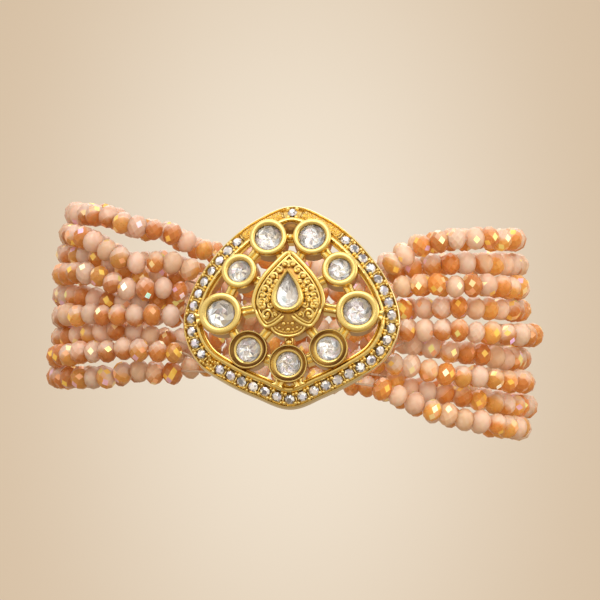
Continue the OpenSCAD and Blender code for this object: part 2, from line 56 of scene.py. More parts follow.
@dataclass
class Surface:
    """Faces worked out with numpy, in millimetres.

    points is (n, 3), corners lists the point of each face corner, sizes the number of corners of each
    face, and tint an RGBA colour for each face, or for each face corner.
    """

    points: np.ndarray
    corners: np.ndarray
    sizes: np.ndarray
    tint: np.ndarray

    @staticmethod
    def of_faces(points: np.ndarray, faces: list[np.ndarray]) -> "Surface":
        """White surface of points and blocks of faces.

        Args:
            points: (n, 3) positions.
            faces: arrays of shape (faces, corners), one for each number of corners.

        Returns:
            The surface, turned so that its faces point outwards.
        """
        corners = np.concatenate([f.reshape(-1) for f in faces])
        sizes = np.concatenate([np.full(len(f), f.shape[1]) for f in faces])
        return Surface(np.asarray(points, float), corners, sizes, np.ones((len(sizes), 4))).outward()

    @staticmethod
    def grid(points: np.ndarray, round_u: bool = True, ends: tuple[bool, bool] = (True, True)) -> "Surface":
        """Surface over a grid of points whose columns close on themselves.

        The face at (i, j) joins points (i, j), (i + 1, j), (i + 1, j + 1) and (i, j + 1).

        Args:
            points: (rows, columns, 3) positions.
            round_u: whether the rows close on themselves too.
            ends: where they don't, whether a face closes the first row and the last one.

        Returns:
            The surface.
        """
        rows, columns = points.shape[:2]
        i, j = np.arange(rows if round_u else rows - 1)[:, None], np.arange(columns)[None, :]
        i1, j1 = (i + 1) % rows * columns, (j + 1) % columns
        i = i * columns
        faces = [np.stack([i + j, i1 + j, i1 + j1, i + j1], -1).reshape(-1, 4)]
        if not round_u:
            caps = (j[:, ::-1], j + (rows - 1) * columns)
            faces += [cap for cap, wanted in zip(caps, ends) if wanted]
        return Surface.of_faces(points.reshape(-1, 3), faces)

    def volume(self) -> float:
        """Volume inside the faces: the sum of the tetrahedra from the origin to fans of triangles.

        Returns:
            The volume, negative where the faces point inwards.
        """
        start = np.cumsum(self.sizes) - self.sizes
        total = 0.0
        for k in range(1, int(self.sizes.max()) - 1):
            ok = self.sizes > k + 1
            a, b, c = (self.points[self.corners[start[ok] + m]] for m in (0, k, k + 1))
            total += float(np.einsum("ij,ij->", a, np.cross(b, c))) / 6
        return total

    def outward(self) -> "Surface":
        """Turns the faces outwards, where they point inwards.

        Returns:
            The same surface.
        """
        if self.volume() < 0:
            start = np.repeat(np.cumsum(self.sizes) - self.sizes, self.sizes)
            last = np.repeat(self.sizes, self.sizes) - 1
            self.corners = self.corners[2 * start + last - np.arange(len(self.corners))]
        return self

    def moved(self, turn: np.ndarray, shift: np.ndarray) -> "Surface":
        """The surface turned by a matrix and then shifted."""
        return Surface(self.points @ turn.T + shift, self.corners, self.sizes, self.tint).outward()

    def face_middles(self) -> np.ndarray:
        """Middle of each face's corners."""
        start = np.cumsum(self.sizes) - self.sizes
        return np.add.reduceat(self.points[self.corners], start) / self.sizes[:, None]

    def shade_rows(self, rows: np.ndarray, ends: float) -> None:
        """Sets the tint's first channel row by row, and one value for the two end faces."""
        across = (len(self.sizes) - 2) // len(rows)
        self.tint[:, 0] = np.concatenate([np.repeat(rows, across), [ends, ends]])

    def copies(self, turns: np.ndarray, shifts: np.ndarray, tints: np.ndarray | None = None) -> "Surface":
        """Many copies joined: copy k is turned by turns[k] and shifted by shifts[k].

        Args:
            turns: (copies, 3, 3) matrices, scale included.
            shifts: (copies, 3) positions.
            tints: RGBA of each face or face corner of each copy, or None to repeat this surface's.

        Returns:
            One surface with every copy in it.
        """
        n, count = len(self.points), len(shifts)
        points = np.einsum("kij,nj->kni", turns, self.points) + shifts[:, None, :]
        corners = (self.corners[None, :] + n * np.arange(count)[:, None]).reshape(-1)
        tint = np.tile(self.tint, (count, 1)) if tints is None else tints.reshape(-1, 4)
        return Surface(points.reshape(-1, 3), corners, np.tile(self.sizes, count), tint)

    @staticmethod
    def join(parts: list["Surface"]) -> "Surface":
        """One surface of several.

        Args:
            parts: the surfaces.

        Returns:
            The surface with all their faces, in their order.
        """
        base = np.cumsum([0] + [len(p.points) for p in parts[:-1]])
        return Surface(
            np.concatenate([p.points for p in parts]),
            np.concatenate([p.corners + b for p, b in zip(parts, base)]),
            np.concatenate([p.sizes for p in parts]),
            np.concatenate([p.tint for p in parts]),
        )

    def thing(self, name: str, material: bpy.types.Material,
              smooth: bool | np.ndarray = True) -> bpy.types.Object:
        """Puts the surface into the scene.

        Args:
            name: name of the object.
            material: its finish.
            smooth: whether its faces are shaded smooth, up to sharp edges, or which of them are, at any edge.

        Returns:
            The new object.
        """
        mesh = bpy.data.meshes.new(name)
        mesh.vertices.add(len(self.points))
        mesh.vertices.foreach_set("co", (self.points * MM).astype(np.float32).ravel())
        mesh.loops.add(len(self.corners))
        mesh.loops.foreach_set("vertex_index", self.corners.astype(np.int32))
        mesh.polygons.add(len(self.sizes))
        mesh.polygons.foreach_set("loop_start", (np.cumsum(self.sizes) - self.sizes).astype(np.int32))
        mesh.update(calc_edges=True)
        colours = mesh.color_attributes.new("tint", "FLOAT_COLOR", "CORNER")
        tint = self.tint if len(self.tint) == len(self.corners) else np.repeat(self.tint, self.sizes, axis=0)
        colours.data.foreach_set("color", tint.astype(np.float32).ravel())
        mesh.polygons.foreach_set("use_smooth", np.broadcast_to(smooth, len(self.sizes)).copy())
        if smooth is True:
            mesh.set_sharp_from_angle(angle=SMOOTH_ANGLE)
        mesh.materials.append(material)
        return stand(name, mesh)

    def piece(self, name: str, slot: str, material: bpy.types.Material, nodes: list[str],
              smooth: bool | np.ndarray = True) -> None:
        """Puts the surface into the scene as a piece that rides on the bracelet.

        Args:
            name: name of the piece.
            slot: material slot of the record; not used.
            material: its finish.
            nodes: CAD nodes that it stands for.
            smooth: whether its faces are shaded smooth, or which of them are.
        """
        made = self.thing(name, material, smooth)
        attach(made, "root")
        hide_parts(*nodes)
        log.info("%s: %d faces", name, len(self.sizes))


def stand(name: str, data: bpy.types.ID) -> bpy.types.Object:
    """Adds an object to the scene.

    Args:
        name: name of the object.
        data: its mesh, light or camera.

    Returns:
        The new object.
    """
    made = bpy.data.objects.new(name, data)
    bpy.context.scene.collection.objects.link(made)
    return made


def unit(v: np.ndarray) -> np.ndarray:
    """Vectors of length 1 along the last axis."""
    return v / np.linalg.norm(v, axis=-1, keepdims=True)


def run(line: np.ndarray) -> np.ndarray:
    """Distance along a line at each of its points."""
    return np.concatenate([[0], np.cumsum(np.linalg.norm(np.diff(line, axis=0), axis=1))])


def circle(radius: float, angles: np.ndarray, z: float) -> np.ndarray:
    """Points at angles on a circle about the Z axis."""
    return np.stack([radius * np.cos(angles), radius * np.sin(angles), np.full(len(angles), z)], -1)


class Axis(Enum):
    """Axes to turn about, each with the axis that it carries and the one that it carries it to."""

    X = (1, 2)
    Y = (2, 0)
    Z = (0, 1)


def turn_about(axis: Axis, degrees: float) -> np.ndarray:
    """Matrix of a turn about an axis, by the cosine and the sine of the angle.

    Args:
        axis: the axis.
        degrees: the angle, by the right-hand rule.

    Returns:
        (3, 3) matrix.
    """
    i, j = axis.value
    c, s = math.cos(math.radians(degrees)), math.sin(math.radians(degrees))
    made = np.eye(3)
    made[i, i], made[i, j], made[j, i], made[j, j] = c, -s, s, c
    return made


def spline(knots: list[np.ndarray], t: np.ndarray) -> np.ndarray:
    """Catmull-Rom curve between the second and the third of four even knots, at shares t of the way."""
    a, b, c, d = knots
    return b + 0.5 * t * (c - a + t * (2 * a - 5 * b + 4 * c - d + t * (3 * (b - c) + d - a)))


def curve(knots: np.ndarray, steps: int, closed: bool = False) -> np.ndarray:
    """Smooth curve through knots: a Catmull-Rom spline at even parameters.

    Args:
        knots: (n, d) points.
        steps: number of points wanted.
        closed: whether the curve closes on itself.

    Returns:
        (steps, d) points.
    """
    k = np.asarray(knots, float)
    n = len(k)
    t = np.linspace(0, n if closed else n - 1, steps, endpoint=not closed)
    i = np.minimum(t.astype(int), n - 1 if closed else n - 2)
    near = [(i + m) % n if closed else np.clip(i + m, 0, n - 1) for m in (-1, 0, 1, 2)]
    return spline([k[m] for m in near], (t - i)[:, None])


def wire(path: np.ndarray, radius: float | np.ndarray, up: np.ndarray = UP, sides: int = 10,
         closed: bool = False) -> Surface:
    """Round wire: a circle carried along a path.

    Point (i, j) is path[i] plus radius[i] times the cosine of angle j to the side and its sine upwards.

    Args:
        path: (n, 3) points.
        radius: radius at each point, or one for all.
        up: direction that the circles keep to.
        sides: points round the wire.
        closed: whether the path closes on itself.

    Returns:
        The closed surface.
    """
    ahead = np.roll(path, -1, 0) - np.roll(path, 1, 0)
    if not closed:
        ahead[0], ahead[-1] = path[1] - path[0], path[-1] - path[-2]
    ahead = unit(ahead)
    side = unit(np.cross(ahead, up))
    over = np.cross(side, ahead)
    a = 2 * np.pi * np.arange(sides) / sides
    r = np.broadcast_to(np.asarray(radius, float), (len(path),))[:, None, None]
    ring = np.cos(a)[None, :, None] * side[:, None, :] + np.sin(a)[None, :, None] * over[:, None, :]
    return Surface.grid(path[:, None, :] + r * ring, round_u=closed)


def lathe(profile: np.ndarray, steps: int) -> Surface:
    """Turned shape: a profile of radius and height carried round the Z axis.

    Args:
        profile: (n, 2) radius and height, starting and ending off the axis; each end is closed flat.
        steps: points round the axis.

    Returns:
        The closed surface.
    """
    a = 2 * np.pi * np.arange(steps) / steps
    return Surface.grid(np.stack([circle(r, a, z) for r, z in profile]), round_u=False)


def ball(rings: int, sides: int) -> Surface:
    """Ball of radius 1 whose rings lie at even angles from pole to pole."""
    t = np.pi * (np.arange(rings) + 0.6) / (rings + 0.2)
    return lathe(np.stack([np.sin(t), np.cos(t)], -1), sides)


def balls(places: np.ndarray, radii: np.ndarray, rings: int, sides: int) -> Surface:
    """Balls of several radii at several places, as one surface."""
    return ball(rings, sides).copies(np.asarray(radii)[:, None, None] * np.eye(3), np.asarray(places))


def level(outline: np.ndarray, z: float | np.ndarray) -> np.ndarray:
    """Points of a flat outline at a height, or at a height each."""
    return np.column_stack([outline, np.broadcast_to(z, len(outline))])


def smooth_step(t: np.ndarray) -> np.ndarray:
    """Eased value that goes from 0 to 1 as t does."""
    u = np.clip(t, 0, 1)
    return u * u * (3 - 2 * u)


# Shader maths


class Value:
    """Socket on which maths is written as Python expressions; each operation adds its Math node."""

    def __init__(self, shader: "Shader", socket: bpy.types.NodeSocket) -> None:
        """Wraps a socket of a shader."""
        self.shader, self.socket = shader, socket

    def _math(self, operation: str, *values: "Value | float") -> "Value":
        """Math node of an operation on values."""
        return self.shader.node("ShaderNodeMath", {"operation": operation}, dict(enumerate(values)))

    def __add__(self, other: "Value | float") -> "Value":
        """Sum."""
        return self._math("ADD", self, other)

    __radd__ = __add__

    def __sub__(self, other: "Value | float") -> "Value":
        """Difference."""
        return self._math("SUBTRACT", self, other)

    def __rsub__(self, other: float) -> "Value":
        """Difference from a number."""
        return self._math("SUBTRACT", other, self)

    def __mul__(self, other: "Value | float") -> "Value":
        """Product."""
        return self._math("MULTIPLY", self, other)

    __rmul__ = __mul__

    def __pow__(self, other: float) -> "Value":
        """Power."""
        return self._math("POWER", self, other)

    def between(self, low: float, high: float) -> "Value":
        """Eased value that goes from 0 at low to 1 at high.

        Args:
            low: value that gives 0.
            high: value that gives 1.

        Returns:
            The eased value.
        """
        return self.shader.node(
            "ShaderNodeMapRange",
            {"interpolation_type": "SMOOTHSTEP"},
            {0: self, 1: low, 2: high, 3: 0.0, 4: 1.0},
        )


class Shader:
    """Builder of one node material."""

    def __init__(self, name: str, tree: bpy.types.NodeTree | None = None) -> None:
        """Starts an empty material, or empties a node tree.

        Args:
            name: name of a new material.
            tree: the node tree to use in its place.
        """
        if tree is None:
            self.material = bpy.data.materials.new(name)
            self.material.use_nodes = True
            tree = self.material.node_tree
        self.tree = tree
        self.tree.nodes.clear()

    def node(self, kind: str, settings: dict | None = None, inputs: dict | None = None,
             output: int | str = 0) -> Value:
        """Adds a node.

        Args:
            kind: Blender's type name.
            settings: attributes, set first; a ramp's stops are given as "stops".
            inputs: numbers, colours or Values by socket name or index.
            output: which output is wanted.

        Returns:
            That output.
        """
        made = self.tree.nodes.new(kind)
        for key, value in (settings or {}).items():
            if key == "stops":
                self._stops(made.color_ramp, value)
            else:
                setattr(made, key, value)
        for key, value in (inputs or {}).items():
            if isinstance(value, Value):
                self.tree.links.new(value.socket, made.inputs[key])
            else:
                made.inputs[key].default_value = value
        return Value(self, made.outputs[output])

    def parts(self, kind: str, whole: Value) -> list[Value]:
        """The three parts of a vector or a colour, from a Separate node of a kind."""
        first = self.node(kind, None, {0: whole})
        return [Value(self, output) for output in first.socket.node.outputs]

    @staticmethod
    def _stops(ramp: bpy.types.ColorRamp, stops: list[tuple[float, tuple[float, float, float]]]) -> None:
        """Sets a colour ramp's stops.

        Args:
            ramp: the ramp, with its first two stops.
            stops: places from 0 to 1, each with its colour.
        """
        while len(ramp.elements) < len(stops):
            ramp.elements.new(0.5)
        for element, (place, colour) in zip(ramp.elements, stops):
            element.position = place
            element.color = (*colour, 1)

    def place(self) -> Value:
        """Object coordinates, in metres."""
        return self.node("ShaderNodeTexCoord", output="Object")

    def noise(self, scale: float, detail: float = 2) -> Value:
        """Noise of a scale in waves per metre, from 0 to 1."""
        inputs = {"Vector": self.place(), "Scale": scale, "Detail": detail}
        return self.node("ShaderNodeTexNoise", None, inputs)

    def mix(self, first: "Value | tuple", second: "Value | tuple", share: "Value | float",
            blend: str = "MIX") -> Value:
        """Mix of two colours.

        Args:
            first: colour at share 0.
            second: colour at share 1.
            share: how much of the second there is.
            blend: Blender's name of the way they blend.

        Returns:
            The colour.
        """
        colour = lambda c: c if isinstance(c, Value) else (*c, 1)
        inputs = {0: share, 6: colour(first), 7: colour(second)}
        return self.node("ShaderNodeMix", {"data_type": "RGBA", "blend_type": blend}, inputs, 2)

    def tint(self, output: str = "Color") -> Value:
        """The piece's own colour attribute."""
        return self.node("ShaderNodeVertexColor", {"layer_name": "tint"}, None, output)

    def bump(self, height: Value, depth_mm: float, strength: float) -> Value:
        """Normal from a height that goes from 0 to 1 over a depth."""
        inputs = {"Height": height, "Distance": depth_mm * MM, "Strength": strength}
        return self.node("ShaderNodeBump", None, inputs)

    def finish(self, **sockets: "Value | float | tuple") -> bpy.types.Material:
        """Closes the material with a Principled shader.

        Args:
            sockets: its sockets, with _ for each blank.

        Returns:
            The material.
        """
        inputs = {key.replace("_", " "): (*v, 1) if isinstance(v, tuple) and "Radius" not in key else v
                  for key, v in sockets.items()}
        self.close(self.node("ShaderNodeBsdfPrincipled", None, inputs), "ShaderNodeOutputMaterial")
        return self.material

    def close(self, surface: Value, kind: str) -> None:
        """Links a surface to an output node of a kind."""
        made = self.tree.nodes.new(kind)
        self.tree.links.new(surface.socket, made.inputs["Surface"])


# Finishes


@dataclass(frozen=True)
class Gilt:
    """Polished yellow gilding, browner and duller in its hollows, where shade is painted.

    The tint's first channel is its painted light: low under painted shade, high under a painted highlight.
    Its second falls where the gilding is painted paler and greyer, and its third where it lies in painted
    deep shade.
    """

    bright: tuple[float, float, float] = (0.93, 0.70, 0.245)
    painted_shade: tuple[float, float, float] = (0.42, 0.20, 0.05)
    pale_gilt: tuple[float, float, float] = (0.86, 0.78, 0.65)
    rubbed: tuple[float, float, float] = (0.92, 0.60, 0.10)
    shaded: tuple[float, float, float] = (0.10, 0.05, 0.02)
    roughness: float = 0.16

    def material(self) -> bpy.types.Material:
        """Makes the material.

        Returns:
            The material.
        """
        s = Shader("gilding")
        painted_light, not_pale, open_sky = s.parts("ShaderNodeSeparateColor", s.tint())
        wear = s.noise(900, 3)
        # Painted shade in hollows, painted highlights where the first channel is high, paler grey where the
        # second falls.
        base = s.mix(self.painted_shade, s.mix(self.pale_gilt, self.bright, not_pale), painted_light)
        base = s.mix(base, self.rubbed, (wear - 0.5).between(0.05, 0.3) * 0.4)
        # Painted deep shade where the third channel falls.
        base = s.mix(self.shaded, base, open_sky)
        rough = self.roughness + wear * 0.12 + (1 - painted_light) * 0.18
        grain = s.noise(4200, 2)
        return s.finish(Base_Color=base, Metallic=1.0, Roughness=rough, Normal=s.bump(grain, 0.012, 0.5))


@dataclass(frozen=True)
class Foil:
    """Silver foil and cut facets under a clear stone."""

    dark: tuple[float, float, float] = (0.50, 0.47, 0.43)
    glow: float = 0.065
    name: str = "foiled_facets"

    def material(self) -> bpy.types.Material:
        """Makes the material.

        Returns:
            The material.
        """
        s = Shader(self.name)
        fleck = s.noise(2600, 3)
        base = s.mix(self.dark, s.tint(), 0.75 + fleck * 0.25)
        # Painted light: the foil glows a little, for the light that reaches it through the glass.
        return s.finish(
            Base_Color=base,
            Metallic=0.35,
            Roughness=0.08 + fleck * 0.1,
            Coat_Weight=0.5,
            Coat_Roughness=0.03,
            Emission_Color=base,
            Emission_Strength=self.glow,
        )


@dataclass(frozen=True)
class ClearStone:
    """Clear cut stone."""

    colour: tuple[float, float, float] = (0.98, 0.99, 1.0)
    hazy: tuple[float, float, float] = (0.90, 0.92, 0.95)

    def material(self) -> bpy.types.Material:
        """Makes the material.

        Returns:
            The material.
        """
        s = Shader("clear_stone")
        haze = s.noise(1500, 2)
        base = s.mix(self.colour, self.hazy, haze * 0.6)
        return s.finish(Base_Color=base, Roughness=0.01 + haze * 0.02, Transmission_Weight=1.0, IOR=1.5)


@dataclass(frozen=True)
class GlassBead:
    """Milky faceted glass, partly under an amber lustre; the tint's alpha is the share of lustre.

    The glass is milkier where it faces the eye and, in painted shade, a deeper orange towards its outline,
    and a painted glow of its own stands for the light that passes through it.
    """

    glow: float = 0.18
    milk: tuple[float, float, float] = (0.80, 0.67, 0.57)
    deep: tuple[float, float, float] = (0.80, 0.52, 0.30)
    rust: tuple[float, float, float] = (0.58, 0.22, 0.08)
    through: tuple[float, float, float] = (1.0, 0.78, 0.55)

    def material(self) -> bpy.types.Material:
        """Makes the material.

        Returns:
            The material.
        """
        s = Shader("bead_glass")
        colour, lustre = s.tint(), s.tint("Alpha")
        cloud, streak = s.noise(700, 3), s.noise(1900, 2)
        # Painted shade: deeper orange towards the outline.
        rim = s.node("ShaderNodeLayerWeight", None, {"Blend": 0.5}, "Facing") ** 1.6
        plain = 1 - (lustre * 3).between(0.0, 1.0)
        milk = s.mix(colour, self.milk, (0.3 + cloud.between(0.4, 0.8) * 0.2) * plain)
        base = s.mix(milk, s.mix(colour, self.deep, 1.0, "MULTIPLY"), rim * 0.7)
        base = s.mix(base, self.rust, streak.between(0.55, 0.85) * 0.15)
        return s.finish(
            Base_Color=base,
            Metallic=lustre * 0.4,
            Roughness=0.3 - lustre * 0.2 + cloud * 0.06,
            Coat_Weight=0.14 + lustre * 0.3,
            Coat_Roughness=0.08,
            Subsurface_Weight=0.9,
            Subsurface_Radius=(1.0, 0.6, 0.4),
            Subsurface_Scale=0.0018,
            # Painted glow that lifts the shade between the beads.
            Emission_Color=s.mix(colour, self.through, 1.0, "MULTIPLY"),
            Emission_Strength=self.glow,
        )


@dataclass(frozen=True)
class Elastic:
    """Milky elastic thread."""

    colour: tuple[float, float, float] = (0.56, 0.38, 0.27)
    pale: tuple[float, float, float] = (0.66, 0.50, 0.38)

    def material(self) -> bpy.types.Material:
        """Makes the material.

        Returns:
            The material.
        """
        s = Shader("elastic")
        twist = s.noise(2500, 2)
        return s.finish(Base_Color=s.mix(self.colour, self.pale, twist), Roughness=0.65 + twist * 0.1)


# The centre plate's frame


@dataclass
class Plate:
    """Place and outline of the domed centre plate, as in the part's source."""

    dome_r: float = 28
    reach: float = 21.6
    tilt: float = 15
    turn: float = 7
    roll: float = 1
    rim_middle_w: float = -3.7
    radii: tuple[float, ...] = (14.45, 13.45, 12.88, 13.05, 14.1, 15.29, 15.08, 13.99, 13.72, 14.43)
    radii_step: float = 20

    @property
    def matrix(self) -> np.ndarray:
        """Turn that carries the plate to its place."""
        upright = turn_about(Axis.X, 90 - self.tilt) @ turn_about(Axis.Z, self.roll)
        return turn_about(Axis.Z, -self.turn) @ upright

    @property
    def shift(self) -> np.ndarray:
        """Shift that follows the turn."""
        return np.array([0, -self.reach, 0]) - self.matrix @ np.array([0, 0, self.rim_middle_w])

    def place(self, points: np.ndarray) -> np.ndarray:
        """Points of the plate in the bracelet's frame."""
        return points @ self.matrix.T + self.shift

    def drop(self, x: np.ndarray, y: np.ndarray) -> np.ndarray:
        """Height of the dome, 0 at its middle."""
        return np.sqrt(self.dome_r**2 - x * x - y * y) - self.dome_r

    def edge_r(self, a: np.ndarray) -> np.ndarray:
        """Radius of the edge: a spline through the radii, mirrored left to right.

        Args:
            a: angles in degrees, 90 at the upper tip.

        Returns:
            Radii.
        """
        a = (np.asarray(a, float) + 180) % 360 - 180
        b = np.where(a > 90, 180 - a, np.where(a < -90, -180 - a, a))
        f = np.abs(90 - b) / self.radii_step
        last = len(self.radii) - 1
        k = np.minimum(f.astype(int), last - 1)
        near = [np.abs(k + m) for m in (-1, 0, 1, 2)]
        return spline([np.array(self.radii)[np.where(m > last, 2 * last - m, m)] for m in near], f - k)

    def edge_raw(self, a: np.ndarray) -> np.ndarray:
        """Points of the edge in the plate."""
        r, t = self.edge_r(a), np.radians(a)
        return np.stack([r * np.cos(t), r * np.sin(t)], -1)

    def edge_normal(self, a: np.ndarray) -> np.ndarray:
        """Outward directions of the edge."""
        d = self.edge_raw(a + 1) - self.edge_raw(a - 1)
        return unit(np.stack([d[..., 1], -d[..., 0]], -1))

    def edge(self, a: np.ndarray, inset: float | np.ndarray, height: float | np.ndarray = 0) -> np.ndarray:
        """Points at an inset from the edge and a height over the dome.

        Args:
            a: angles in degrees.
            inset: distance inwards from the edge, one for all or one each.
            height: height over the dome, one for all or one each.

        Returns:
            Points in the plate.
        """
        p = self.edge_raw(a) - np.asarray(inset, float)[..., None] * self.edge_normal(a)
        z = self.drop(p[..., 0], p[..., 1]) + height
        return np.concatenate([p, np.broadcast_to(z, p.shape[:-1])[..., None]], -1)


@dataclass
class Setting:
    """Round setting: its middle across and up, its radius and its stone's."""

    name: str
    x: float
    y: float
    r: float
    stone_r: float
    rise: float = -0.15
    crown_r: float = 60
    lean: float = 0.7

    @property
    def matrix(self) -> np.ndarray:
        """Turn that leans the setting outwards."""
        d, a = math.hypot(self.x, self.y), math.degrees(math.atan2(self.y, self.x))
        return turn_about(Axis.Z, a) @ turn_about(Axis.Y, self.lean * d)

    @property
    def shift(self) -> np.ndarray:
        """Middle of the setting's top."""
        d = math.hypot(self.x, self.y)
        return np.array([self.x, self.y, self.rise + math.sqrt(self.crown_r**2 - d * d) - self.crown_r])


def round_settings() -> list[Setting]:
    """The nine round settings of the plate: four pairs, and one at the bottom.

    Returns:
        The settings, from the top down.
    """
    half = (
        ("top", 3.05, 9.3, 2.65, 1.8),
        ("upper", 7, 4.5, 2.5, 1.55),
        ("side", 9.55, -1.5, 3, 1.95),
        ("lower", 5.6, -6.8, 2.7, 1.66),
    )
    sides = (("left", -1), ("right", 1))
    made = [Setting(f"{name}_{side}", sign * x, y, r, s) for name, x, y, r, s in half for side, sign in sides]
    return [*made, Setting("bottom", 0, -8.9, 2.68, 1.66)]


# Gilt work


@dataclass
class Rim:
    """Border of the plate: a lip, a channel for the small stones, a milled wire and a step."""

    plate: Plate
    inset: float = 1.16
    half_count: int = 18
    missing: int = -7
    upper_end: float = 50
    steps: int = 420
    wire_inset: float = 2.2
    grain_r: float = 0.265
    band_angles: tuple[float, float] = (52.6, 84.2)
    band_insets: tuple[float, float] = (0.30, 1.92)

    def section(self) -> np.ndarray:
        """Section of the rim, round it once: the lip, the channel's floor, the wire and the step.

        Returns:
            Insets and heights over the dome.
        """
        return np.array([
            (0.15, -1.2), (0.03, -1.12), (0.0, -0.95), (0.0, -0.4), (0.0, -0.16), (0.04, -0.04),
            (0.12, 0.02), (0.20, 0.01), (0.26, -0.06), (0.30, -0.2), (0.32, -0.42), (0.4, -0.52),
            (1.1, -0.54), (1.72, -0.50), (1.84, -0.42), (1.88, -0.15), (1.94, 0.08), (2.05, 0.23),
            (2.2, 0.3), (2.35, 0.24), (2.46, 0.09), (2.5, -0.15), (2.52, -0.42), (2.57, -0.47),
            (2.62, -0.42), (2.64, -0.26), (2.7, -0.17),
            (2.78, -0.15), (2.86, -0.2), (2.9, -0.32), (2.9, -0.6), (2.88, -0.98), (2.8, -1.15), (2.65, -1.2),
        ])

    def body(self) -> Surface:
        """The section carried along the plate's edge, with the wire milled by a wave along the path.

        Returns:
            The closed surface, in painted shade in the channel and low down, and painted paler and greyer
            on its outer wall.
        """
        a = np.linspace(-180, 180, self.steps, endpoint=False)[:, None]
        s, h = self.section().T[:, None, :]
        milled = np.exp(-(((s - self.wire_inset) / 0.3) ** 2)) * (h > 0)
        h = h + 0.035 * milled * np.sin(a * 3.1) * np.sin(a * 1.7 + 2)
        made = Surface.grid(self.plate.edge(a + 0 * s, s + 0 * a, h))
        # Painted shade on the channel's floor and the low parts, and paler, greyer gilding painted on the
        # outer wall.
        floor = (h < -0.4) & (s > 0.35) & (s < 2.75)
        wall = (s < 0.25) & (h < 0.0)
        for channel, light in ((0, np.where(floor | (h < -0.9), 0.7, 1.0)), (1, np.where(wall, 0.35, 1.0))):
            made.tint[:, channel] = np.minimum(light, np.roll(light, -1, 1)).reshape(-1)
        return made

    def angle(self, number: np.ndarray) -> np.ndarray:
        """Angle of the edge at small stones' numbers, at even distances along the channel's middle.

        Args:
            number: numbers from the lower tip upwards, below 0 on the left.

        Returns:
            Angles in degrees.
        """
        a = np.linspace(-90, self.upper_end, 400)
        far = run(self.plate.edge(a, self.inset)[:, :2])
        right = np.interp(np.abs(number) * far[-1] / self.half_count, far, a)
        return np.where(number < 0, 180 - right, right)

    def seats(self) -> tuple[np.ndarray, np.ndarray]:
        """Angles of the small stones, up both sides from the lower tip and one at the upper tip.

        Returns:
            Angles of the stones, and of the gaps between neighbours.
        """
        k = np.arange(-self.half_count, self.half_count + 1)
        return np.append(self.angle(k[k != self.missing]), 90.0), self.angle(k[:-1] + 0.5)

    def grains(self) -> list[Surface]:
        """Pairs of small gold balls on both sides of each gap, and a web across the channel.

        Returns:
            The balls, with the four prongs at the upper tip, and the webs.
        """
        _, gaps = self.seats()
        n = self.plate.edge_normal(gaps)
        t = np.stack([-n[:, 1], n[:, 0]], -1)
        rng = np.random.default_rng(SEED)
        places, sizes = [], []
        for inset in (0.50, 1.68):
            for side in (-1, 1):
                along = side * 0.23 * (0.9 + 0.25 * rng.random(len(gaps)))
                p = self.plate.edge(gaps, inset + 0.05 * rng.standard_normal(len(gaps)), -0.02)
                p[:, :2] += along[:, None] * t
                places.append(p)
                sizes.append(self.grain_r + 0.03 * rng.standard_normal(len(gaps)))
        prongs = np.array([[-0.55, -0.62, 0.05], [0.55, -0.62, 0.05], [-0.62, 0.5, 0.0], [0.62, 0.5, 0.0]])
        places.append(self.plate.edge(np.array([90.0]), self.inset) + prongs)
        sizes.append(np.full(len(prongs), 0.3))
        turns = np.zeros((len(gaps), 3, 3))
        turns[:, :2, 0], turns[:, :2, 1], turns[:, 2, 2] = 0.8 * n, 0.2 * t, 0.24
        webs = ball(5, 12).copies(turns, self.plate.edge(gaps, self.inset, -0.42))
        # Painted shade on the webs, as on the channel's floor.
        webs.tint[:, 0] = 0.7
        return [balls(np.concatenate(places), np.concatenate(sizes), 5, 10), webs]

    def empty_seat(self) -> list[Surface]:
        """Grains round the seat whose stone is gone.

        Returns:
            The grains, as one surface.
        """
        t = np.radians([20, 80, 150, 215, 290])
        middle = self.plate.edge(self.angle(np.array([self.missing])), self.inset, -0.25)
        return [balls(middle + circle(0.38, t, 0), np.full(len(t), 0.24), 5, 10)]

    def upper_bands(self) -> list[Surface]:
        """Grained gold that fills the channel on both sides of the upper tip.

        Its height is a row of pebbles along the path: the product of a wave along it and one across it.

        Returns:
            The left band and the right one.
        """
        u, v = np.linspace(0, 1, 220)[:, None], np.linspace(0, 1, 15)[None, :]
        (first, last), (outer, inner) = self.band_angles, self.band_insets
        a = first + u * (last - first) + 0 * v
        s = outer + v * (inner - outer) + 0 * u
        end = smooth_step(u * 12) * smooth_step((1 - u) * 12) * smooth_step(v * 5) * smooth_step((1 - v) * 5)
        pebble = np.abs(np.sin(u * 74 + 2.2 * np.sin(v * 3.1)) * np.sin(v * 9.4 + 1.1 * np.sin(u * 37)))
        h = -0.5 + (0.36 + 0.34 * pebble) * end
        made = []
        for angles in (180 - a, a):
            top, low = self.plate.edge(angles, s, h), self.plate.edge(angles, s, -0.62)
            made.append(Surface.grid(np.concatenate([top, low[:, ::-1]], 1), round_u=False))
            # Painted paler gilding, standing in for the bands' bright highlights.
            made[-1].tint[:, 1] = 0.84
        return made

    def surfaces(self) -> list[Surface]:
        """All the rim's gilt surfaces, in the plate."""
        return [self.body(), *self.grains(), *self.empty_seat(), *self.upper_bands()]


